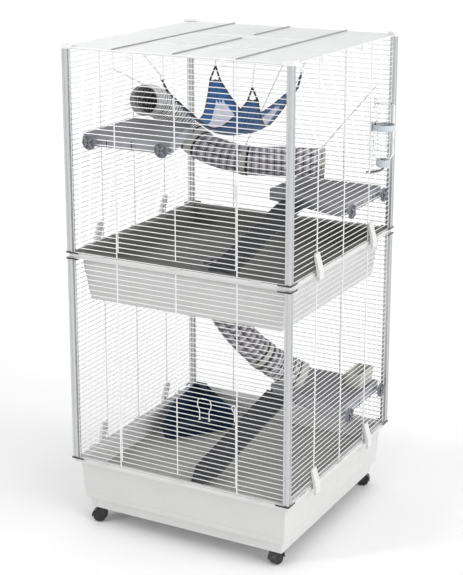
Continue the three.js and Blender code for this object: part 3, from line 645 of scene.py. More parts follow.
def wall(level, side):
    """Row wires and uprights of one wall; the front walls leave room for their door."""
    on_wall = wall_points(side)
    front = side in ("front", "back")
    half = (SIDE_X if front else -FRONT_Y) - POST / 2 - 1.0
    z0, z1 = WALL_LOW[level] + 2.5, WALL_TOP[level] - 2.5
    shape = Shape()
    door_low = WALL_LOW[level] + DOOR_LIFT
    door_high = door_low + DOOR_HEIGHT
    rows = levels_between(z0, z1)
    sill = max(z for z in rows if z < door_low - PITCH / 2)
    lintel = min(z for z in rows if z > door_high + PITCH / 2)
    for z in rows:
        if side == "front" and sill < z < lintel:
            for sign in (-1, 1):
                shape.add(*rod(on_wall(sign * BESIDE_DOOR, 0, z), on_wall(sign * half, 0, z), THIN))
        else:
            shape.add(*rod(on_wall(-half, 0, z), on_wall(half, 0, z), THIN))
    for along in ((-BESIDE_DOOR, BESIDE_DOOR) if front else (-195, 0, 195)):
        shape.add(*upright(on_wall, along, z0 - 1, z1 + 1))
    if side == "back":
        shape.add(*upright(on_wall, 0, z0 - 1, z1 + 1))
    if side == "front":
        shape.add(*upright(on_wall, 0, lintel, z1 + 1))
        shape.add(*upright(on_wall, 0, z0 - 1, sill))
    for sign in (-1, 1):
        shape.add(*upright(on_wall, sign * (half - 1), z0 - 1, z1 + 1, THIN * 1.2, 0))
    node_name = f"{level}_wall_{side}"
    make(f"{node_name}_wires", shape, WIRE, replaces=[node_name])


def front_door(level):
    """Door of row wires with a bent hook at its upper right corner, and its two latches."""
    on_wall = wall_points("front")
    z0 = WALL_LOW[level] + DOOR_LIFT
    z1 = z0 + DOOR_HEIGHT
    edge = DOOR_HALF - 2.0
    shape = Shape()
    for z in levels_between(z0 + 1.5, z1 - 1.5)[1:-1]:
        shape.add(*rod(on_wall(-edge, 0, z), on_wall(edge, 0, z), THIN))
    for z in (z0 + 1.5, z1 - 1.5):
        shape.add(*rod(on_wall(-edge, 0, z), on_wall(edge, 0, z), THIN))
    for along in (-edge, 0, edge):
        shape.add(*upright(on_wall, along, z0 + 1, z1 - 1, THICK * 0.85, 0 if along else 1.2))
    hook = [(2, -40), (2, -6), (5, 4), (1, 11), (-6, 9), (-7, 0), (-1, -10)]
    shape.add(*tube(curve([on_wall(edge + a - 4, 4.2, z1 + b) for a, b in hook], 2.5), 1.5, 8))
    node_name = f"{level}_front_door"
    make(f"{node_name}_wires", shape, WIRE, body=node_name, replaces=[node_name])
    for side, sx in (("left", -1), ("right", 1)):
        door_latch(f"{level}_latch_{side}", on_wall, sx * 100, z1)


def door_latch(name, on_wall, x, top):
    """Bent-wire latch on the door: legs, a kink and a loop that closes over the top."""
    leg = [(17, -54), (17, -26), (23, -14), (23, 5), (14, 14)]
    path = [on_wall(x - a, 4, top + b) for a, b in leg]
    path += [on_wall(x + a, 4, top + b) for a, b in reversed(leg)]
    shape = Shape().add(*tube(curve(path, 2.5), LATCH))
    for sign in (-1, 1):
        shape.add(*ring(on_wall(x + sign * 17, 4, top - 55), (0, 0, 1), 2.6, 1.1, 12, 6))
    make(f"{name}_wire", shape, WIRE, body=name, replaces=[name])


for storey in WALL_LOW:
    for side_name in ("front", "back", "left", "right"):
        wall(storey, side_name)
    front_door(storey)


# ---------------------------------------------------------------- roof
def roof():
    """Roof wires around the roof door, and the grey rods on top of them."""
    half_x, half_y = SIDE_X + POST / 2, -FRONT_Y + POST / 2
    y0, y1 = ROOF_DOOR_Y
    z = ROOF_Z + THIN
    shape = Shape()
    for y in levels_between(-half_y + 2, half_y - 2):
        if y0 - 3 < y < y1 + 3:
            for sign in (-1, 1):
                shape.add(*rod((sign * BESIDE_DOOR, y, z), (sign * (half_x - 2), y, z), THIN))
        else:
            shape.add(*rod((-half_x + 2, y, z), (half_x - 2, y, z), THIN))
    for x in (-half_x + 2, half_x - 2):
        shape.add(*rod((x, -half_y + 1, z), (x, half_y - 1, z), THICK))
    for y in (-half_y + 2, half_y - 2):
        shape.add(*rod((-half_x + 1, y, z), (half_x - 1, y, z), THICK))
    for y in (y0 - 4, y1 + 4):
        shape.add(*rod((-BESIDE_DOOR, y, z), (BESIDE_DOOR, y, z), THICK * 0.8))
    make("roof_wires", shape, WIRE, replaces=["roof_panel"])
    rods = Shape()
    height = z + THIN + ROD
    stretches = [(x, -half_y + 2, half_y - 2) for x in (-BESIDE_DOOR, BESIDE_DOOR)]
    stretches += [(0, -half_y + 2, y0 - 6), (0, y1 + HINGE_CLEAR[1], half_y - 2)]
    for x, near, far in stretches:
        rods.add(*rod((x, near, height), (x, far, height), ROD))
    make("roof_rods", rods, ROD_GREY)


def roof_door():
    """Wire flap with its own stretch of the middle rod and two bent latches."""
    y0, y1 = ROOF_DOOR_Y
    z = ROOF_Z + THIN
    edge = DOOR_HALF - 2
    shape = Shape()
    for y in levels_between(y0 + 1.5, y1 - 1.5)[1:-1]:
        shape.add(*rod((-edge, y, z), (edge, y, z), THIN))
    for y in (y0 + 1.5, y1 - 1.5):
        shape.add(*rod((-edge, y, z), (edge, y, z), THICK * 0.85))
    for x in (-edge, edge):
        shape.add(*rod((x, y0, z), (x, y1, z), THICK * 0.85))
    height = z + THIN + 2
    centre_rod = rod((0, y0, height), (0, y1 - HINGE_CLEAR[0], height), 2.1)
    make("roof_door_rod", Shape().add(*centre_rod), ROD_GREY, body="roof_door")
    for x in (-100, 100):
        bend = [(-20, 52), (-20, 14), (-12, -10), (12, -10), (20, 14), (20, 52)]
        path = [(x + a, y0 + b, z + 3) for a, b in bend]
        shape.add(*tube(curve(path), LATCH))
    make("roof_door_wires", shape, WIRE, body="roof_door", replaces=["roof_door"])


def roof_caps():
    """White corner caps, and the small clips that hold the walls to the roof."""
    skin, pad, skirt = 1.6, 34, 3
    half_x, half_y = SIDE_X + POST / 2 + GAP, -FRONT_Y + POST / 2 + GAP
    shape = Shape()
    top = [(skin, skin), (-pad, skin), (-pad, -8), (-8, -pad), (skin, -pad)]
    side = [(0, 0), (-pad, 0), (-pad, skin), (skin, skin), (skin, -pad), (0, -pad)]
    for sx, sy in CORNERS:
        for outline, z0, z1 in ((top, ROOF_Z + 3.4, CAP_TOP), (side, ROOF_Z - skirt, ROOF_Z + 4)):
            flat = [(sx * (half_x + a), sy * (half_y + b)) for a, b in outline]
            shape.add(*loft([[(x, y, z) for x, y in flat] for z in (z0, z1)]))
    for x in (-160, 172):
        shape.add(*block(x - 9, x + 9, -half_y - 2.2, -half_y + 4, ROOF_Z - 16, ROOF_Z + 6))
    for y in (-185, 105):
        shape.add(*block(half_x - 4, half_x + 2.2, y - 9, y + 9, ROOF_Z - 16, ROOF_Z + 6))
        shape.add(*block(-half_x - 2.2, -half_x + 4, y - 9, y + 9, ROOF_Z - 16, ROOF_Z + 6))
    make("roof_caps", shape, WHITE, bevel=1.0)


roof()
roof_door()
roof_caps()


# ---------------------------------------------------------------- pieces kept from the CAD
def keep(node_name, material, width):
    """Shows a CAD piece as it is, with rounded edges and a material."""
    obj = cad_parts[node_name]
    obj.data.materials[0] = material
    round_edges(obj, width)


for tray_name in ("base", "mid"):
    for end_name in ("front", "back"):
        for side_name in ("left", "right"):
            keep(f"{tray_name}_clip_{end_name}_{side_name}", CLIP, 1.2)


# ---------------------------------------------------------------- platforms, knobs and ramps
PLAT = {"length": 344.0, "depth": 330.0, "slant": 110.0, "height": 38.0}
SLANT = math.atan2(PLAT["slant"], PLAT["depth"])


def platform_loop(inset, z, radius):
    """A ring of the platform's outline: x along the wall, y away from it."""
    length, depth, slope = PLAT["length"], PLAT["depth"], PLAT["slant"] / PLAT["depth"]
    lean = 1 / math.cos(SLANT)
    corners = [(inset * (lean + slope), inset), (length - inset, inset), (length - inset, depth - inset),
               (PLAT["slant"] + inset * (lean - slope), depth - inset)]
    return [(p.x, p.y, z) for p in rounded(corners, radius, 7)]


def platform(node_name, matrix):
    """Deck with a lip all round, ribs along its top and dark seam marks in its sides."""
    height = PLAT["height"]
    loops = [
        platform_loop(3.4, -4, 9), platform_loop(3, -height + 1, 9), platform_loop(2.2, -height, 10),
        platform_loop(0.6, -height, 12), platform_loop(0, -height + 1, 12), platform_loop(1.2, -7, 12),
        platform_loop(2.0, -5.6, 12), platform_loop(0.6, -5, 12), platform_loop(0.6, -1.6, 12),
        platform_loop(2.4, 0, 11), platform_loop(9, 0, 9), platform_loop(10.5, -1.4, 9),
        platform_loop(14, -1.4, 8),
    ]
    shape = Shape().add(*loft(loops))
    for i in range(9):
        x = 125 + i * 24
        shape.add(*block(x - 3, x + 3, 22, PLAT["depth"] - 22, -1.6, -0.3))
    make(f"{node_name}_moulding", shape.moved(matrix), PLATFORM, replaces=[node_name])
    seams = Shape()
    for x in (60, 150, 240, 325):
        for y in (0.35, PLAT["depth"] - 0.35):
            if y < 1 or x > PLAT["slant"] + 10:
                seams.add(*block(x - 1.6, x + 1.6, y - 0.6, y + 0.6, -height + 3, -8))
    for y in (60, 150, 240):
        seams.add(*block(PLAT["length"] - 1.0, PLAT["length"] + 0.2, y - 1.6, y + 1.6, -height + 3, -8))
    make(f"{node_name}_seams", seams.moved(matrix), SEAM)


def knob(node_name, centre, axis):
    """Round grip with a raised rim and two crossed ribs."""
    profile = [(4, -3.5), (4, 3), (22, 3), (24, 4.2), (24, 8.2), (22.6, 9.6), (20.6, 9.6), (19.6, 8.4),
               (19, 7)]
    shape = Shape().add(*lathe(profile, 36))
    for degrees in (45, 135):
        rib = Shape().add(*block(-20, 20, -3.4, 3.4, 6, 14))
        rib.moved(Matrix.Rotation(math.radians(degrees), 4, "Z"))
        shape.add(rib.verts, rib.faces)
    turn = Vector((0, 0, 1)).rotation_difference(Vector(axis)).to_matrix().to_4x4()
    shape.moved(Matrix.Translation(centre) @ turn)
    make(f"{node_name}_grip", shape, KNOB, body=node_name, replaces=[node_name],
         bevel=0.7)


def ramp_board(node_name, hinge, floor):
    """Slatted board that hangs from the platform's slanted edge."""
    length, width, tip, taper, slat_pitch = 440.0, 108.0, 34.0, 65.0, 12.5
    half = width / 2

    def half_at(y):
        if y > -(length - taper):
            return half
        return half + (tip / 2 - half) * (-y - (length - taper)) / taper

    shape = Shape()
    ends = [0.0, -(length - taper), -length]
    outline = [(-half_at(y), y) for y in ends] + [(half_at(y), y) for y in reversed(ends)]
    shape.add(*loft([[(x, y, z) for x, y in outline] for z in (0.6, 3.2)]))
    for sign in (-1, 1):
        edge = [(sign * (half_at(y) - 2.6), y + (0 if y else -1), 4.2) for y in ends]
        shape.add(*tube(edge, 2.6, 8))
    shape.add(*tube([(-tip / 2, -length + 2.2, 3.4), (tip / 2, -length + 2.2, 3.4)], 2.2, 8))
    y = -14.0
    while y > -length + 12:
        reach = half_at(y) - 4
        outline = [(y - 3.2, 3.0), (y - 1.2, 7.2), (y + 1.2, 7.2), (y + 3.2, 3.0)]
        shape.add(*loft([[(x, a, b) for a, b in outline] for x in (-reach, reach)]))
        y -= slat_pitch
    for sign in (-1, 1):
        shape.add(*tube([(sign * 34, 4, 6), (sign * 34, 0, 9), (sign * 34, -6, 6)], 3.2, 8))
    drop = math.asin((hinge[2] - floor - 1) / length)
    matrix = (Matrix.Translation(hinge) @ Matrix.Rotation(-SLANT, 4, "Z") @ Matrix.Rotation(drop, 4, "X"))
    make(f"{node_name}_board", shape.moved(matrix), RAMP, body=node_name, replaces=[node_name],
         bevel=0.4)


def platforms():
    """The three platforms with their knobs and ramps."""
    sides = (("upper", 4, 1090, 0.57, MID_FLOOR), ("lower", 22, 395, 0.8, BASE_FLOOR))
    for storey_name, y, top, share, floor in sides:
        turn = Matrix(((0, -1, 0, SIDE_X - 4), (1, 0, 0, y), (0, 0, 1, top), (0, 0, 0, 1)))
        platform(f"{storey_name}_right_platform", turn)
        for end, sign in (("front", -1), ("back", 1)):
            centre = (SIDE_X + 2.5, y + PLAT["length"] / 2 + sign * 130, top - 22)
            knob(f"{storey_name}_right_knob_{end}", centre, (1, 0, 0))
        hinge = Vector((SIDE_X - 4 - PLAT["depth"] * share, y + PLAT["slant"] * share, top - 16))
        hinge += Vector((-math.sin(SLANT), -math.cos(SLANT), 0)) * 8
        ramp_board(f"{storey_name}_right_ramp", hinge, floor)
    left, top = -350, 1323
    flip = Matrix(((-1, 0, 0, left + PLAT["length"]), (0, 1, 0, FRONT_Y + 4), (0, 0, 1, top), (0, 0, 0, 1)))
    platform("upper_left_platform", flip)
    for side, sign in (("left", -1), ("right", 1)):
        centre = (left + PLAT["length"] / 2 + 6 + sign * 130, FRONT_Y - 2.5, top - 22)
        knob(f"upper_left_knob_{side}", centre, (0, -1, 0))


platforms()


# ---------------------------------------------------------------- casters
CASTER_TURN = {"front_left": 200, "front_right": 75, "back_left": 150, "back_right": 20}


def casters():
    """Twin wheels under a curved hood, each caster turned its own way."""
    wheel, trail = 21.0, 12.0
    for corner, degrees in CASTER_TURN.items():
        end, side = corner.split("_")
        sx, sy = (-1 if side == "left" else 1), (-1 if end == "front" else 1)
        matrix = Matrix.Translation((sx * CASTER_X, sy * CASTER_Y, 0))
        matrix @= Matrix.Rotation(math.radians(degrees), 4, "Z")
        upright_turn = Matrix.Translation((trail, 0, wheel)) @ Matrix.Rotation(math.radians(90), 4, "X")
        hood = Shape()
        arc = [math.radians(-8 + 196 * k / 24) for k in range(25)]
        skin = [((wheel + 4.4) * math.cos(t), (wheel + 4.4) * math.sin(t)) for t in arc]
        skin += [((wheel + 1.4) * math.cos(t), (wheel + 1.4) * math.sin(t)) for t in reversed(arc)]
        widths = (-15.5, -14.2, 14.2, 15.5)
        shrink = (0.97, 1.0, 1.0, 0.97)
        hood.add(*loft([[(a * s, b * s, z) for a, b in skin] for z, s in zip(widths, shrink)]))
        hood.add(*lathe([(wheel - 2, -2.4), (wheel - 2, 2.4)], 24))
        hood.moved(upright_turn)
        hood.add(*lathe([(15, wheel + 14), (15, 44), (12.5, 47), (12.5, BASE_BOTTOM - GAP)], 28))
        name = f"caster_hood_{corner}"
        make(f"{name}_shell", hood.moved(matrix), BLACK, body=name, replaces=[name],
             bevel=0.6)
        wheels = Shape()
        for sign in (-1, 1):
            profile = [(3, 3.4), (8, 3.4), (wheel - 2, 3.4), (wheel - 0.6, 4.2), (wheel, 6), (wheel, 11.5),
                       (wheel - 0.8, 13.2), (17.5, 13.8), (16.5, 12.4), (8, 12.4), (7, 13.8), (3, 13.8)]
            verts, faces = lathe([(r, sign * z) for r, z in profile], 32)
            wheels.add(verts, faces)
            for k in range(6):
                low, high = sorted((sign * 12.2, sign * 13.4))
                spoke = Shape().add(*block(7, 17, -1, 1, low, high))
                spoke.moved(Matrix.Rotation(math.radians(60 * k), 4, "Z"))
                wheels.add(spoke.verts, spoke.faces)
        wheels.add(*lathe([(2.8, -12), (2.8, 12)], 16))
        wheels.moved(matrix @ upright_turn)
        name = f"caster_wheels_{corner}"
        make(f"{name}_pair", wheels, TYRE, body=name, replaces=[name], bevel=0.4)


casters()


# ---------------------------------------------------------------- chains and straps
def chain(start, end, long=9.0, thick=0.75):
    """Oval links of that length, each a quarter turn from the last."""
    start, end = Vector(start), Vector(end)
    axis = (end - start).normalized()
    side = axis.orthogonal().normalized()
    shape = Shape()
    count = max(2, round((end - start).length / (long * 0.72)))
    for i in range(count):
        centre = start.lerp(end, (i + 0.5) / count)
        across = side if i % 2 else axis.cross(side)
        loop = [centre + axis * math.cos(t) * long / 2 + across * math.sin(t) * long * 0.26
                for t in turns_round(10)]
        shape.add(*tube(loop, thick, 5, closed=True))
    return shape


def joined(*shapes):
    """Several shapes as one."""
    whole = Shape()
    for shape in shapes:
        whole.add(shape.verts, shape.faces)
    return whole


# ---------------------------------------------------------------- tunnels
UPPER_TUNNEL = [(-300, -72, 1384), (-306, -18, 1377), (-300, 42, 1348), (-280, 88, 1302), (-250, 108, 1255),
                (-205, 112, 1222), (-143, 105, 1200), (-30, 128, 1176), (90, 187, 1172), (205, 245, 1167)]
LOWER_TUNNEL = [(HOLE[0], HOLE[1], MID_FLOOR + GAP), (HOLE[0], HOLE[1], 790), (-8, -65, 710),
                (25, -30, 635), (64, 18, 565), (118, 66, 503), (192, 118, 452)]


def tunnel_skin(points, sides=44, rib=24.0):
    """Cloth drawn over wire hoops: it bellies in between them. Outside and inside are one closed skin."""
    path = curve(points, 3.0)
    frames = sweep_frames(path)
    travelled = [0.0]
    for a, b in zip(path, path[1:]):
        travelled.append(travelled[-1] + (b - a).length)
    outer, inner = [], []
    for (point, normal, side), s in zip(frames, travelled):
        dip = 1.5 * math.sin(math.pi * ((s / rib) % 1.0)) ** 0.7
        skin, lining = [], []
        for k in range(sides):
            t = 2 * math.pi * k / sides
            ripple = 0.55 * noise.noise(Vector((k * 0.9, s * 0.11, 3.7)))
            across = normal * math.cos(t) + side * math.sin(t)
            skin.append(point + across * (TUNNEL_R - 0.4 - dip + ripple))
            lining.append(point + across * (TUNNEL_R - 2.2 - dip + ripple))
        outer.append(skin)
        inner.append(lining)
    verts, faces = loft([*outer, *reversed(inner)], closed=True)
    rows = [*travelled, *reversed(travelled)]
    arc = 2 * math.pi * TUNNEL_R / sides
    coords = []
    for row in range(len(rows)):
        here, there = rows[row], rows[(row + 1) % len(rows)]
        for k in range(sides):
            coords += [(k * arc, here), ((k + 1) * arc, here), ((k + 1) * arc, there), (k * arc, there)]
    return Shape().add(verts, faces, coords), frames


def hoop(frames, share, width, thick=1.3):
    """A flat band around the tunnel at a share of its length; the path's points are 3 mm apart."""
    centre = round(share * (len(frames) - 1))
    reach = max(1, round(width / 6))
    span = range(max(0, centre - reach), min(len(frames) - 1, centre + reach) + 1)
    outer, inner = [], []
    for i in span:
        point, normal, side = frames[i]
        spokes = [normal * math.cos(t) + side * math.sin(t) for t in turns_round(44)]
        reach_out = TUNNEL_R + thick - (0.5 if i in (span[0], span[-1]) else 0)
        outer.append([point + spoke * reach_out for spoke in spokes])
        inner.append([point + spoke * (TUNNEL_R - 2.8) for spoke in spokes])
    return Shape().add(*loft([*outer, *reversed(inner)], closed=True))


def tunnels():
    """Both cloth tunnels with their bands, hoops and chains, and the collar of the lower one."""
    wall_x = SIDE_X - 4.0
    skin, frames = tunnel_skin(UPPER_TUNNEL)
    make("upper_tunnel_cloth", skin, PLAID, replaces=["upper_tunnel"], angle=80)
    bands = joined(*(hoop(frames, share, width) for share, width in
                     ((0.004, 8), (0.405, 36), (0.645, 14), (0.985, 22))))
    make("upper_tunnel_bands", bands, BAND)
    trims = joined(*(hoop(frames, share, 6, 1.7) for share in (0.37, 0.438, 0.663)))
    make("upper_tunnel_piping", trims, PIPING)
    slots = joined(*(end_slot(frames[-5], turn) for turn in (20, 70, 200, 250)))
    make("upper_tunnel_slots", slots, SEAM)
    hoops = joined(wire_hoops(frames[:44], TUNNEL_R - 3.4, 1.2), wire_hoops(frames[:96], TUNNEL_R, 1.6))
    make("upper_tunnel_hoops", hoops, WIRE)
    ties = joined(chain((-301, -66, 1434), (-wall_x, -150, 1498)),
                  chain((-30, 128, 1226), (120, 190, ROOF_Z - 2)),
                  chain((196, 240, 1218), (wall_x, 250, 1440)))
    make("upper_tunnel_chains", ties, STEEL)
    skin, frames = tunnel_skin(LOWER_TUNNEL)
    make("lower_tunnel_cloth", skin, PLAID_DARK, replaces=["lower_tunnel"], angle=80)
    bands = joined(*(hoop(frames, share, width) for share, width in ((0.70, 16), (0.98, 22))))
    make("lower_tunnel_bands", bands, BAND)
    make("lower_tunnel_hoops", wire_hoops(frames[-44:], TUNNEL_R, 1.2), WIRE)
    trims = joined(*(hoop(frames, share, 6, 1.7) for share in (0.675, 0.725)))
    make("lower_tunnel_piping", trims, PIPING)
    collar = [(47.6, MID_FLOOR + 1), (47.6, MID_FLOOR + 5.4), (49, MID_FLOOR + 6), (57, MID_FLOOR + 5),
              (61.5, MID_FLOOR + 2), (62, MID_FLOOR + 0.4), (50, MID_FLOOR + 0.4)]
    turned = Shape().add(*lathe(collar, 44, HOLE[:2], closed=True))
    make("lower_tunnel_collar", turned, KNOB)


def wire_hoops(frames, radius, thick, every=4):
    """Coated wire hoops along a stretch of tunnel, one at every fourth point of its path."""
    shape = Shape()
    for point, normal, side in frames[every::every]:
        shape.add(*ring(point, normal.cross(side), radius, thick, 36, 6))
    return shape


def end_slot(frame_here, degrees):
    """A dark slot in the end band, at an angle around the tunnel."""
    point, normal, side = frame_here
    along = normal.cross(side)
    middle = math.radians(degrees)
    loops = []
    for turn in (middle - 0.16, middle, middle + 0.16):
        out = normal * math.cos(turn) + side * math.sin(turn)
        near, far = point + out * (TUNNEL_R + 0.8), point + out * (TUNNEL_R + 1.6)
        loops.append([near - along * 2, far - along * 2, far + along * 2, near + along * 2])
    return Shape().add(*loft(loops))


tunnels()


# ---------------------------------------------------------------- hammock
HAMMOCK = {"x": -8.0, "y": 0.0, "low": 1299.0, "rise": 130.0, "arm": 212.0, "waist": 126.0, "arm_half": 17.0}
RINGS, SECTORS = 26, 112
SETTLE_CAP = 9.0                   # the furthest the simulation may move a point, in millimetres
ARM_TIP = math.atan(HAMMOCK["arm_half"] / HAMMOCK["arm"])      # half the angle an arm's end spans
QUARTER = math.pi / 2


def off_arm(angle):
    """How far an angle is from the nearest arm's middle line."""
    return abs(angle % QUARTER - QUARTER / 2)


def hammock_radius(angle):
    """The outline seen from above: four arms on the diagonals, with hollow edges between them."""
    arm, waist = HAMMOCK["arm"], HAMMOCK["waist"]
    off = off_arm(angle)
    if off <= ARM_TIP:
        return arm / math.cos(off)
    share = (off - ARM_TIP) / (QUARTER / 2 - ARM_TIP)
    return waist + (arm - waist) * (1 - share) ** 2.2


def hammock_height(r):
    """Height of the hanging cloth at a distance from its middle."""
    return HAMMOCK["low"] + HAMMOCK["rise"] * (r / HAMMOCK["arm"]) ** 2.5


def hammock_angles():
    """Sector angles, closer together at the arms' tips so that their corners stay square."""
    per_arm = SECTORS // 4
    arms = [(quarter + 0.5) * QUARTER for quarter in range(4)]
    turns = []
    for arm in arms:
        for k in range(per_arm):
            off = 2 * k / per_arm - 1
            turns.append(arm + math.copysign(abs(off) ** 1.5, off) * QUARTER / 2)
    edges = [arm + sign * ARM_TIP for arm in arms for sign in (-1, 1)]
    nearest = [min(range(len(turns)), key=lambda i, edge=edge: abs(turns[i] - edge)) for edge in edges]
    for index, edge in zip(nearest, edges):
        turns[index] = edge
    return turns


def hammock_sheet():
    """The cloth at rest shape: a fan of rings out to the outline."""
    turns = hammock_angles()
    centre = Vector((HAMMOCK["x"], HAMMOCK["y"], 0))
    verts = [centre + Vector((0, 0, hammock_height(0)))]
    for i in range(1, RINGS + 1):
        for t in turns:
            r = hammock_radius(t) * i / RINGS
            verts.append(centre + Vector((r * math.cos(t), r * math.sin(t), hammock_height(r))))
    faces, count = [], len(turns)
    for k in range(count):
        faces.append((0, 1 + k, 1 + (k + 1) % count))
    for i in range(RINGS - 1):
        for k in range(count):
            a, b = 1 + i * count + k, 1 + i * count + (k + 1) % count
            faces.append((a, a + count, b + count, b))
    return verts, faces, turns


def settle_cloth(verts, faces, pinned, frames=24):
    """Lets the cloth hang from its pinned points; returns its points, in millimetres, after a few frames."""
    mesh = bpy.data.meshes.new("settling")
    mesh.from_pydata([Vector(v) / 1000 for v in verts], [], faces)
    obj = bpy.data.objects.new("settling", mesh)
    bpy.context.collection.objects.link(obj)
    group = obj.vertex_groups.new(name="pinned")
    for index, weight in pinned.items():
        group.add([index], weight, "REPLACE")
    modifier = obj.modifiers.new("hang", "CLOTH")
    settings = modifier.settings
    settings.quality = 8
    settings.mass = 0.25
    settings.tension_stiffness = 60
    settings.compression_stiffness = 8
    settings.shear_stiffness = 6
    settings.bending_stiffness = 0.4
    settings.vertex_group_mass = "pinned"
    settings.shrink_min = -0.015
    scene = bpy.context.scene
    modifier.point_cache.frame_start = 1
    modifier.point_cache.frame_end = frames
    for number in range(1, frames + 1):
        scene.frame_set(number)
    hung = obj.evaluated_get(bpy.context.evaluated_depsgraph_get()).to_mesh()
    result = [v.co * 1000 for v in hung.vertices]
    bpy.data.objects.remove(obj)
    scene.frame_set(1)
    return result


def wrinkled(verts, turns):
    """Drawn-in folds that run along the arms towards their tips."""
    count = len(turns)
    moved = [verts[0]]
    for index, v in enumerate(verts[1:]):
        ring_index, k = divmod(index, count)
        share = (ring_index + 1) / RINGS
        off = off_arm(turns[k])
        fold = 2.6 * share * math.exp(-(off / 0.30) ** 2) * math.sin(off * 62 + turns[k])
        moved.append(v + Vector((0, 0, fold + 1.4 * noise.noise(v * 0.03))))
    return moved


def hammock():
    """The blue sheet, its pad, its piping and what it hangs from. Returns sheet and piping."""
    verts, faces, turns = hammock_sheet()
    count = len(turns)
    rim = 1 + (RINGS - 1) * count
    pinned = {rim + k: 1.0 for k, t in enumerate(turns) if off_arm(t) <= ARM_TIP + 0.005}
    verts = wrinkled(verts, turns)
    start = verts
    hung = settle_cloth(verts, faces, pinned)
    verts = []
    for before, after in zip(start, hung):
        step = after - before
        verts.append(before + step * min(1.0, SETTLE_CAP / max(step.length, 1e-6)))
    flat = [(v.x, v.y) for v in verts]
    coords = [flat[i] for face in faces for i in face]
    cloth_shape = Shape().add(verts, faces, coords)
    sheet_obj = make("hammock_cloth", cloth_shape, BLUE, replaces=["hammock"], angle=80)
    solidify = sheet_obj.modifiers.new("thickness", "SOLIDIFY")
    solidify.thickness = 0.0016
    solidify.offset = 1.0
    smooth = sheet_obj.modifiers.new("smooth", "SUBSURF")
    smooth.levels = 1
    smooth.render_levels = 1
    pad(verts, turns)
    edge = [verts[rim + k] + Vector((0, 0, 0.8)) for k in range(count)]
    piping = Shape().add(*tube(edge, 2.7, 8, closed=True))
    piping_obj = make("hammock_piping", piping, PIPING, angle=80)
    ties(verts, turns, rim)
    return sheet_obj, piping_obj


def pad(verts, turns):
    """Quilted pad sewn into the middle, out to the sheet's ring number last and thicker between stitches."""
    count = len(turns)
    last, stitch = 20, 24
    top, bottom = [], []
    for i in range(last + 1):
        row_top, row_bottom = [], []
        for k in range(count):
            v = verts[0] if i == 0 else verts[1 + (i - 1) * count + k]
            edge = math.sin(QUARTER * min(1.0, (last - i) / 4))
            quilt = abs(math.sin(v.x / stitch + v.y / stitch)) * abs(math.sin(v.x / stitch - v.y / stitch))
            row_top.append(v + Vector((0, 0, 1.8 + 6.0 * edge * (0.55 + 0.45 * quilt))))
            row_bottom.append(v + Vector((0, 0, 1.75)))
        top.append(row_top)
        bottom.append(row_bottom)
    verts_out, faces = loft([*top[1:], *reversed(bottom[1:])])
    coords = [(verts_out[i].x, verts_out[i].y) for face in faces for i in face]
    obj = make("hammock_pad", Shape().add(verts_out, faces, coords), LILAC, angle=80)


def ties(verts, turns, rim):
    """Two straps from each arm's corners to a ring, and a chain from the ring up to its place on the roof."""
    tops = {(-1, -1): (-232, -222), (1, -1): (172, -186), (-1, 1): (-168, 186), (1, 1): (188, 192)}
    straps, rings, chains = Shape(), Shape(), Shape()
    reach = (HAMMOCK["arm"] - 6) / math.sqrt(2)
    height = HAMMOCK["low"] + HAMMOCK["rise"] + 46
    for (sx, sy), (roof_x, roof_y) in tops.items():
        hook = Vector((HAMMOCK["x"] + sx * (reach + 14), sy * (reach + 26), height))
        middle = math.atan2(sy, sx) % (2 * math.pi)
        for side in (-1, 1):
            edge = middle + side * ARM_TIP
            k = min(range(len(turns)), key=lambda i, edge=edge: abs(turns[i] % (2 * math.pi) - edge))
            corner = verts[rim + k]
            down = [corner.lerp(hook, share) for share in (0, 0.35, 0.7, 1.0)]
            straps.add(*strap(down, 7.0, 1.4))
        sideways = (hook - verts[0]).cross(Vector((0, 0, 1)))
        rings.add(*ring(hook + Vector((0, 0, 3)), sideways, 6.0, 1.3, 18, 6))
        links = chain(hook + Vector((0, 0, 9)), (roof_x, roof_y, ROOF_Z - 2))
        chains.add(links.verts, links.faces)
    make("hammock_straps", straps, PIPING, angle=60)
    make("hammock_rings", rings, STEEL)
    make("hammock_chains", chains, STEEL)


def strap(points, width, thick):
    """Flat webbing along a path."""
    frames = sweep_frames(points)
    loops = []
    for point, normal, side in frames:
        a, b = normal * width / 2, side * thick / 2
        loops.append([point - a - b, point + a - b, point + a + b, point - a + b])
    return loft(loops)


def flat_area():
    """Area of the hammock's cut, in square metres, from its arms' real length along the sag."""
    total = 0.0
    steps = 720
    for i in range(steps):
        t = 2 * math.pi * (i + 0.5) / steps
        limit = hammock_radius(t)
        pieces = 40
        for j in range(pieces):
            r0, r1 = limit * j / pieces, limit * (j + 1) / pieces
            along = math.hypot(r1 - r0, hammock_height(r1) - hammock_height(r0))
            total += along * (r0 + r1) / 2 * 2 * math.pi / steps
    return total / 1e6


def arm_length(steps=40):
    """From the hammock's middle to an arm's end, along the sag, in millimetres."""
    step = HAMMOCK["arm"] / steps
    heights = [hammock_height(step * i) for i in range(steps + 1)]
    return sum(math.hypot(step, b - a) for a, b in zip(heights, heights[1:]))


hammock_sheet_obj, hammock_piping_obj = hammock()
CUT = 2 * arm_length() / math.sqrt(2) / 1000
flat_area()


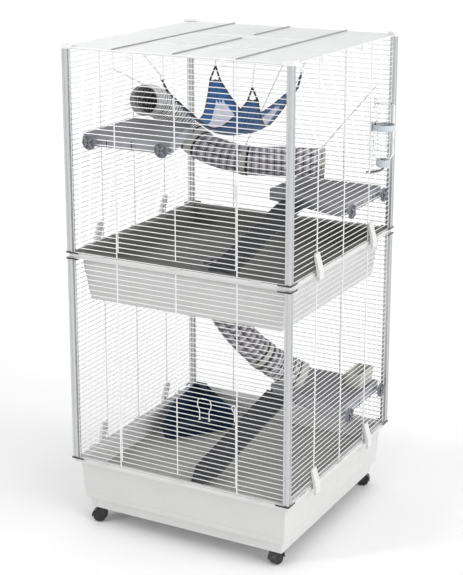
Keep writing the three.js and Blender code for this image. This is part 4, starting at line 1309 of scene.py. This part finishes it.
# ---------------------------------------------------------------- bowl, litter pan and bottle
def bowl():
    """Long food dish with a rolled rim and flared sides."""
    cx, cy, floor, half_x, half_y = 328.0, 288.0, 395.4, 50.0, 74.0

    def loop(inset, z, radius):
        w, d = half_x - inset, half_y - inset
        corners = [(cx - w, cy - d), (cx + w, cy - d), (cx + w, cy + d), (cx - w, cy + d)]
        return [(p.x, p.y, z) for p in rounded(corners, radius, 8)]

    loops = [
        loop(17, floor + 3.6, 12), loop(13.5, floor + 6.5, 14), loop(4.6, floor + 51, 19),
        loop(3.6, floor + 53.4, 19), loop(1.2, floor + 54, 20), loop(0, floor + 52.8, 20),
        loop(0, floor + 47, 20), loop(1.4, floor + 46, 20), loop(8.6, floor + 3, 16), loop(10.5, floor, 15),
    ]
    shape = Shape().add(*loft(loops))
    for z, inset in ((floor + 12, 7.2), (floor + 34, 2.9)):
        shape.add(*tube(loop(inset, z, 18), 0.9, 6, closed=True))
    make("bowl_moulding", shape, BOWL, body="bowl", replaces=["bowl"])


def litter_pan():
    """Corner pan whose rim stands highest in the cage's corner and falls towards the front."""
    corners = [(-361, 356), (-298, 356), (-96, 226), (-118, 176), (-262, -14), (-302, -16), (-348, 130)]
    tops = [262, 262, 226, 214, 214, 226, 240]
    centre = Vector((-245, 170))
    floor = BASE_FLOOR + 0.4
    steps = 5

    def pan_loop(shrink, height):
        points = [Vector(c) - centre for c in corners]
        flat = [centre + p * (p.length - shrink) / p.length for p in points]
        loop = []
        for i, p in enumerate(rounded(flat, 14, steps)):
            here, step = divmod(i, steps + 1)
            after = tops[(here + 1) % len(tops)] if step > steps / 2 + 1 else tops[here]
            z = height if height is not None else (tops[here] * 0.8 + after * 0.2)
            loop.append((p.x, p.y, z))
        return loop

    def topped(shrink, drop):
        return [(x, y, z - drop) for x, y, z in pan_loop(shrink, None)]

    loops = [
        pan_loop(22, floor + 2.6), pan_loop(19, floor + 5), topped(4.6, 2.5), topped(3.4, 0.6),
        topped(1.2, 0), topped(0, 0.8), topped(0.4, 8), topped(1.8, 9), pan_loop(15.6, floor + 2),
        pan_loop(17, floor),
    ]
    make("litter_pan_moulding", Shape().add(*loft(loops)), NAVY, body="litter_pan", replaces=["litter_pan"])


def bottle():
    """Clear bottle outside the wall, with its bracket, marks, cap, hanger and bent spout."""
    x, y = SIDE_X + 39.0, 218.0
    here = Matrix.Translation((x, y, 0))
    clear = new_material("clear_bottle", 0.03, Transmission_Weight=1.0, IOR=1.12)
    tint = ramp(clear, noise_node(clear, 9.0), [(0.3, (0.985, 0.99, 0.99)), (0.7, (1.0, 1.0, 1.0))])
    link(clear, tint, shader_of(clear).inputs["Base Color"])
    bump(clear, noise_node(clear, 60.0, 2.0), 0.2)
    profile = [(22, 1207), (24, 1209), (33.2, 1222), (34, 1228), (34, 1268), (33, 1272), (34, 1276),
               (34, 1380), (32.5, 1387), (27, 1391.4), (20, 1392), (19, 1390.6), (26.5, 1390),
               (31.2, 1386), (32.6, 1379), (32.6, 1228), (32, 1223), (23, 1210.6), (20.8, 1208.4)]
    shell = Shape().add(*lathe(profile, 40)).moved(here)
    make("bottle_body", shell, clear, body="water_bottle", replaces=["water_bottle"])
    marks = Shape()
    for column in (-0.5, 0.35):
        for k in range(11):
            turn = math.radians(-75) + column
            foot = Vector((x + 34.3 * math.cos(turn), y + 34.3 * math.sin(turn), 1238 + k * 12))
            marks.add(*rod(foot, foot + Vector((0, 0, 5)), 0.9, 6))
    make("bottle_marks", marks, CAP_BLUE, body="water_bottle")
    cap_profile = [(4, 1183), (18, 1183), (21, 1185), (22.4, 1188), (22.4, 1204), (21.4, 1206.6), (10, 1207)]
    cap = Shape().add(*lathe(cap_profile, 40))
    for k in range(20):
        rib = Shape().add(*block(21.8, 23.2, -0.9, 0.9, 1188, 1204))
        rib.moved(Matrix.Rotation(k * math.pi / 10, 4, "Z"))
        cap.add(rib.verts, rib.faces)
    make("bottle_cap", cap.moved(here), BOTTLE_GREY, body="water_bottle", bevel=0.4)
    band_profile = [(34.4, 1303), (36.4, 1304), (36.4, 1322), (34.4, 1323)]
    band = Shape().add(*lathe(band_profile, 40, (x, y), closed=True))
    band.add(*block(SIDE_X + 4, x - 33, y - 11, y + 11, 1304, 1323))
    band.add(*block(SIDE_X + 3, SIDE_X + 6, y - 22, y + 22, 1300, 1327))
    make("bottle_bracket", band, BOTTLE_GREY, body="water_bottle", bevel=0.8)
    bend = curve([(x, y, 1190), (x - 1, y, 1176), (x - 22, y - 3, 1166), (x - 55, y - 8, 1160)])
    spout = Shape().add(*tube(bend, 4.0, 14))
    hanger = curve([(x - 16, y - 12, 1391), (x - 20, y - 12, 1400), (x - 30, y - 8, 1404),
                    (x - 34.5, y, 1398), (x - 34.5, y, 1372)])
    make("bottle_spout", spout, DARK_STEEL, body="water_bottle")
    make("bottle_hanger", Shape().add(*tube(hanger, 1.4, 8)), STEEL, body="water_bottle")


bowl()
litter_pan()
bottle()


# ---------------------------------------------------------------- floor, light and camera
def studio():
    """White paper floor that fills the view, an even sky, a low key light from the left and a soft fill."""
    paper = new_material("studio_floor", 0.9)
    tone = ramp(paper, noise_node(paper, 1.5, 2.0), [(0.3, (0.93, 0.93, 0.93)), (0.7, (0.95, 0.95, 0.95))])
    link(paper, tone, shader_of(paper).inputs["Base Color"])
    reach = 30.0
    mesh = bpy.data.meshes.new("studio_floor")
    mesh.from_pydata([(-reach, -reach, 0), (reach, -reach, 0), (reach, reach, 0), (-reach, reach, 0)], [],
                     [(0, 1, 2, 3)])
    mesh.materials.append(paper)
    floor = bpy.data.objects.new("studio_floor", mesh)
    bpy.context.collection.objects.link(floor)

    world = bpy.data.worlds.new("studio")
    bpy.context.scene.world = world
    world.use_nodes = True
    background = world.node_tree.nodes["Background"]
    background.inputs["Color"].default_value = (1.0, 1.0, 1.0, 1.0)
    background.inputs["Strength"].default_value = 0.72

    for name, towards, strength, degrees in (("key", (0.55, 0.72, -0.42), 0.62, 7),
                                             ("fill", (-0.95, 0.10, -0.35), 1.75, 60),
                                             ("top", (0.0, 0.1, -1.0), 0.45, 60)):
        lamp = bpy.data.lights.new(name, "SUN")
        lamp.energy = strength
        lamp.angle = math.radians(degrees)
        obj = bpy.data.objects.new(name, lamp)
        bpy.context.collection.objects.link(obj)
        obj.rotation_euler = Vector(towards).to_track_quat("-Z", "Y").to_euler()


def camera():
    """A long lens from the front right, slightly above the roof."""
    down, around = 14.451, 28.553
    data = bpy.data.cameras.new("camera")
    data.lens = 88.98
    data.sensor_width = 36.0
    data.shift_y = -0.12
    data.clip_end = 60
    obj = bpy.data.objects.new("camera", data)
    bpy.context.collection.objects.link(obj)
    obj.location = place((2139.9, -3957.6, 2166.7))
    obj.rotation_euler = (math.radians(90 - down), 0, math.radians(around))
    bpy.context.scene.camera = obj
    bpy.context.scene.view_settings.view_transform = "Standard"


studio()
camera()
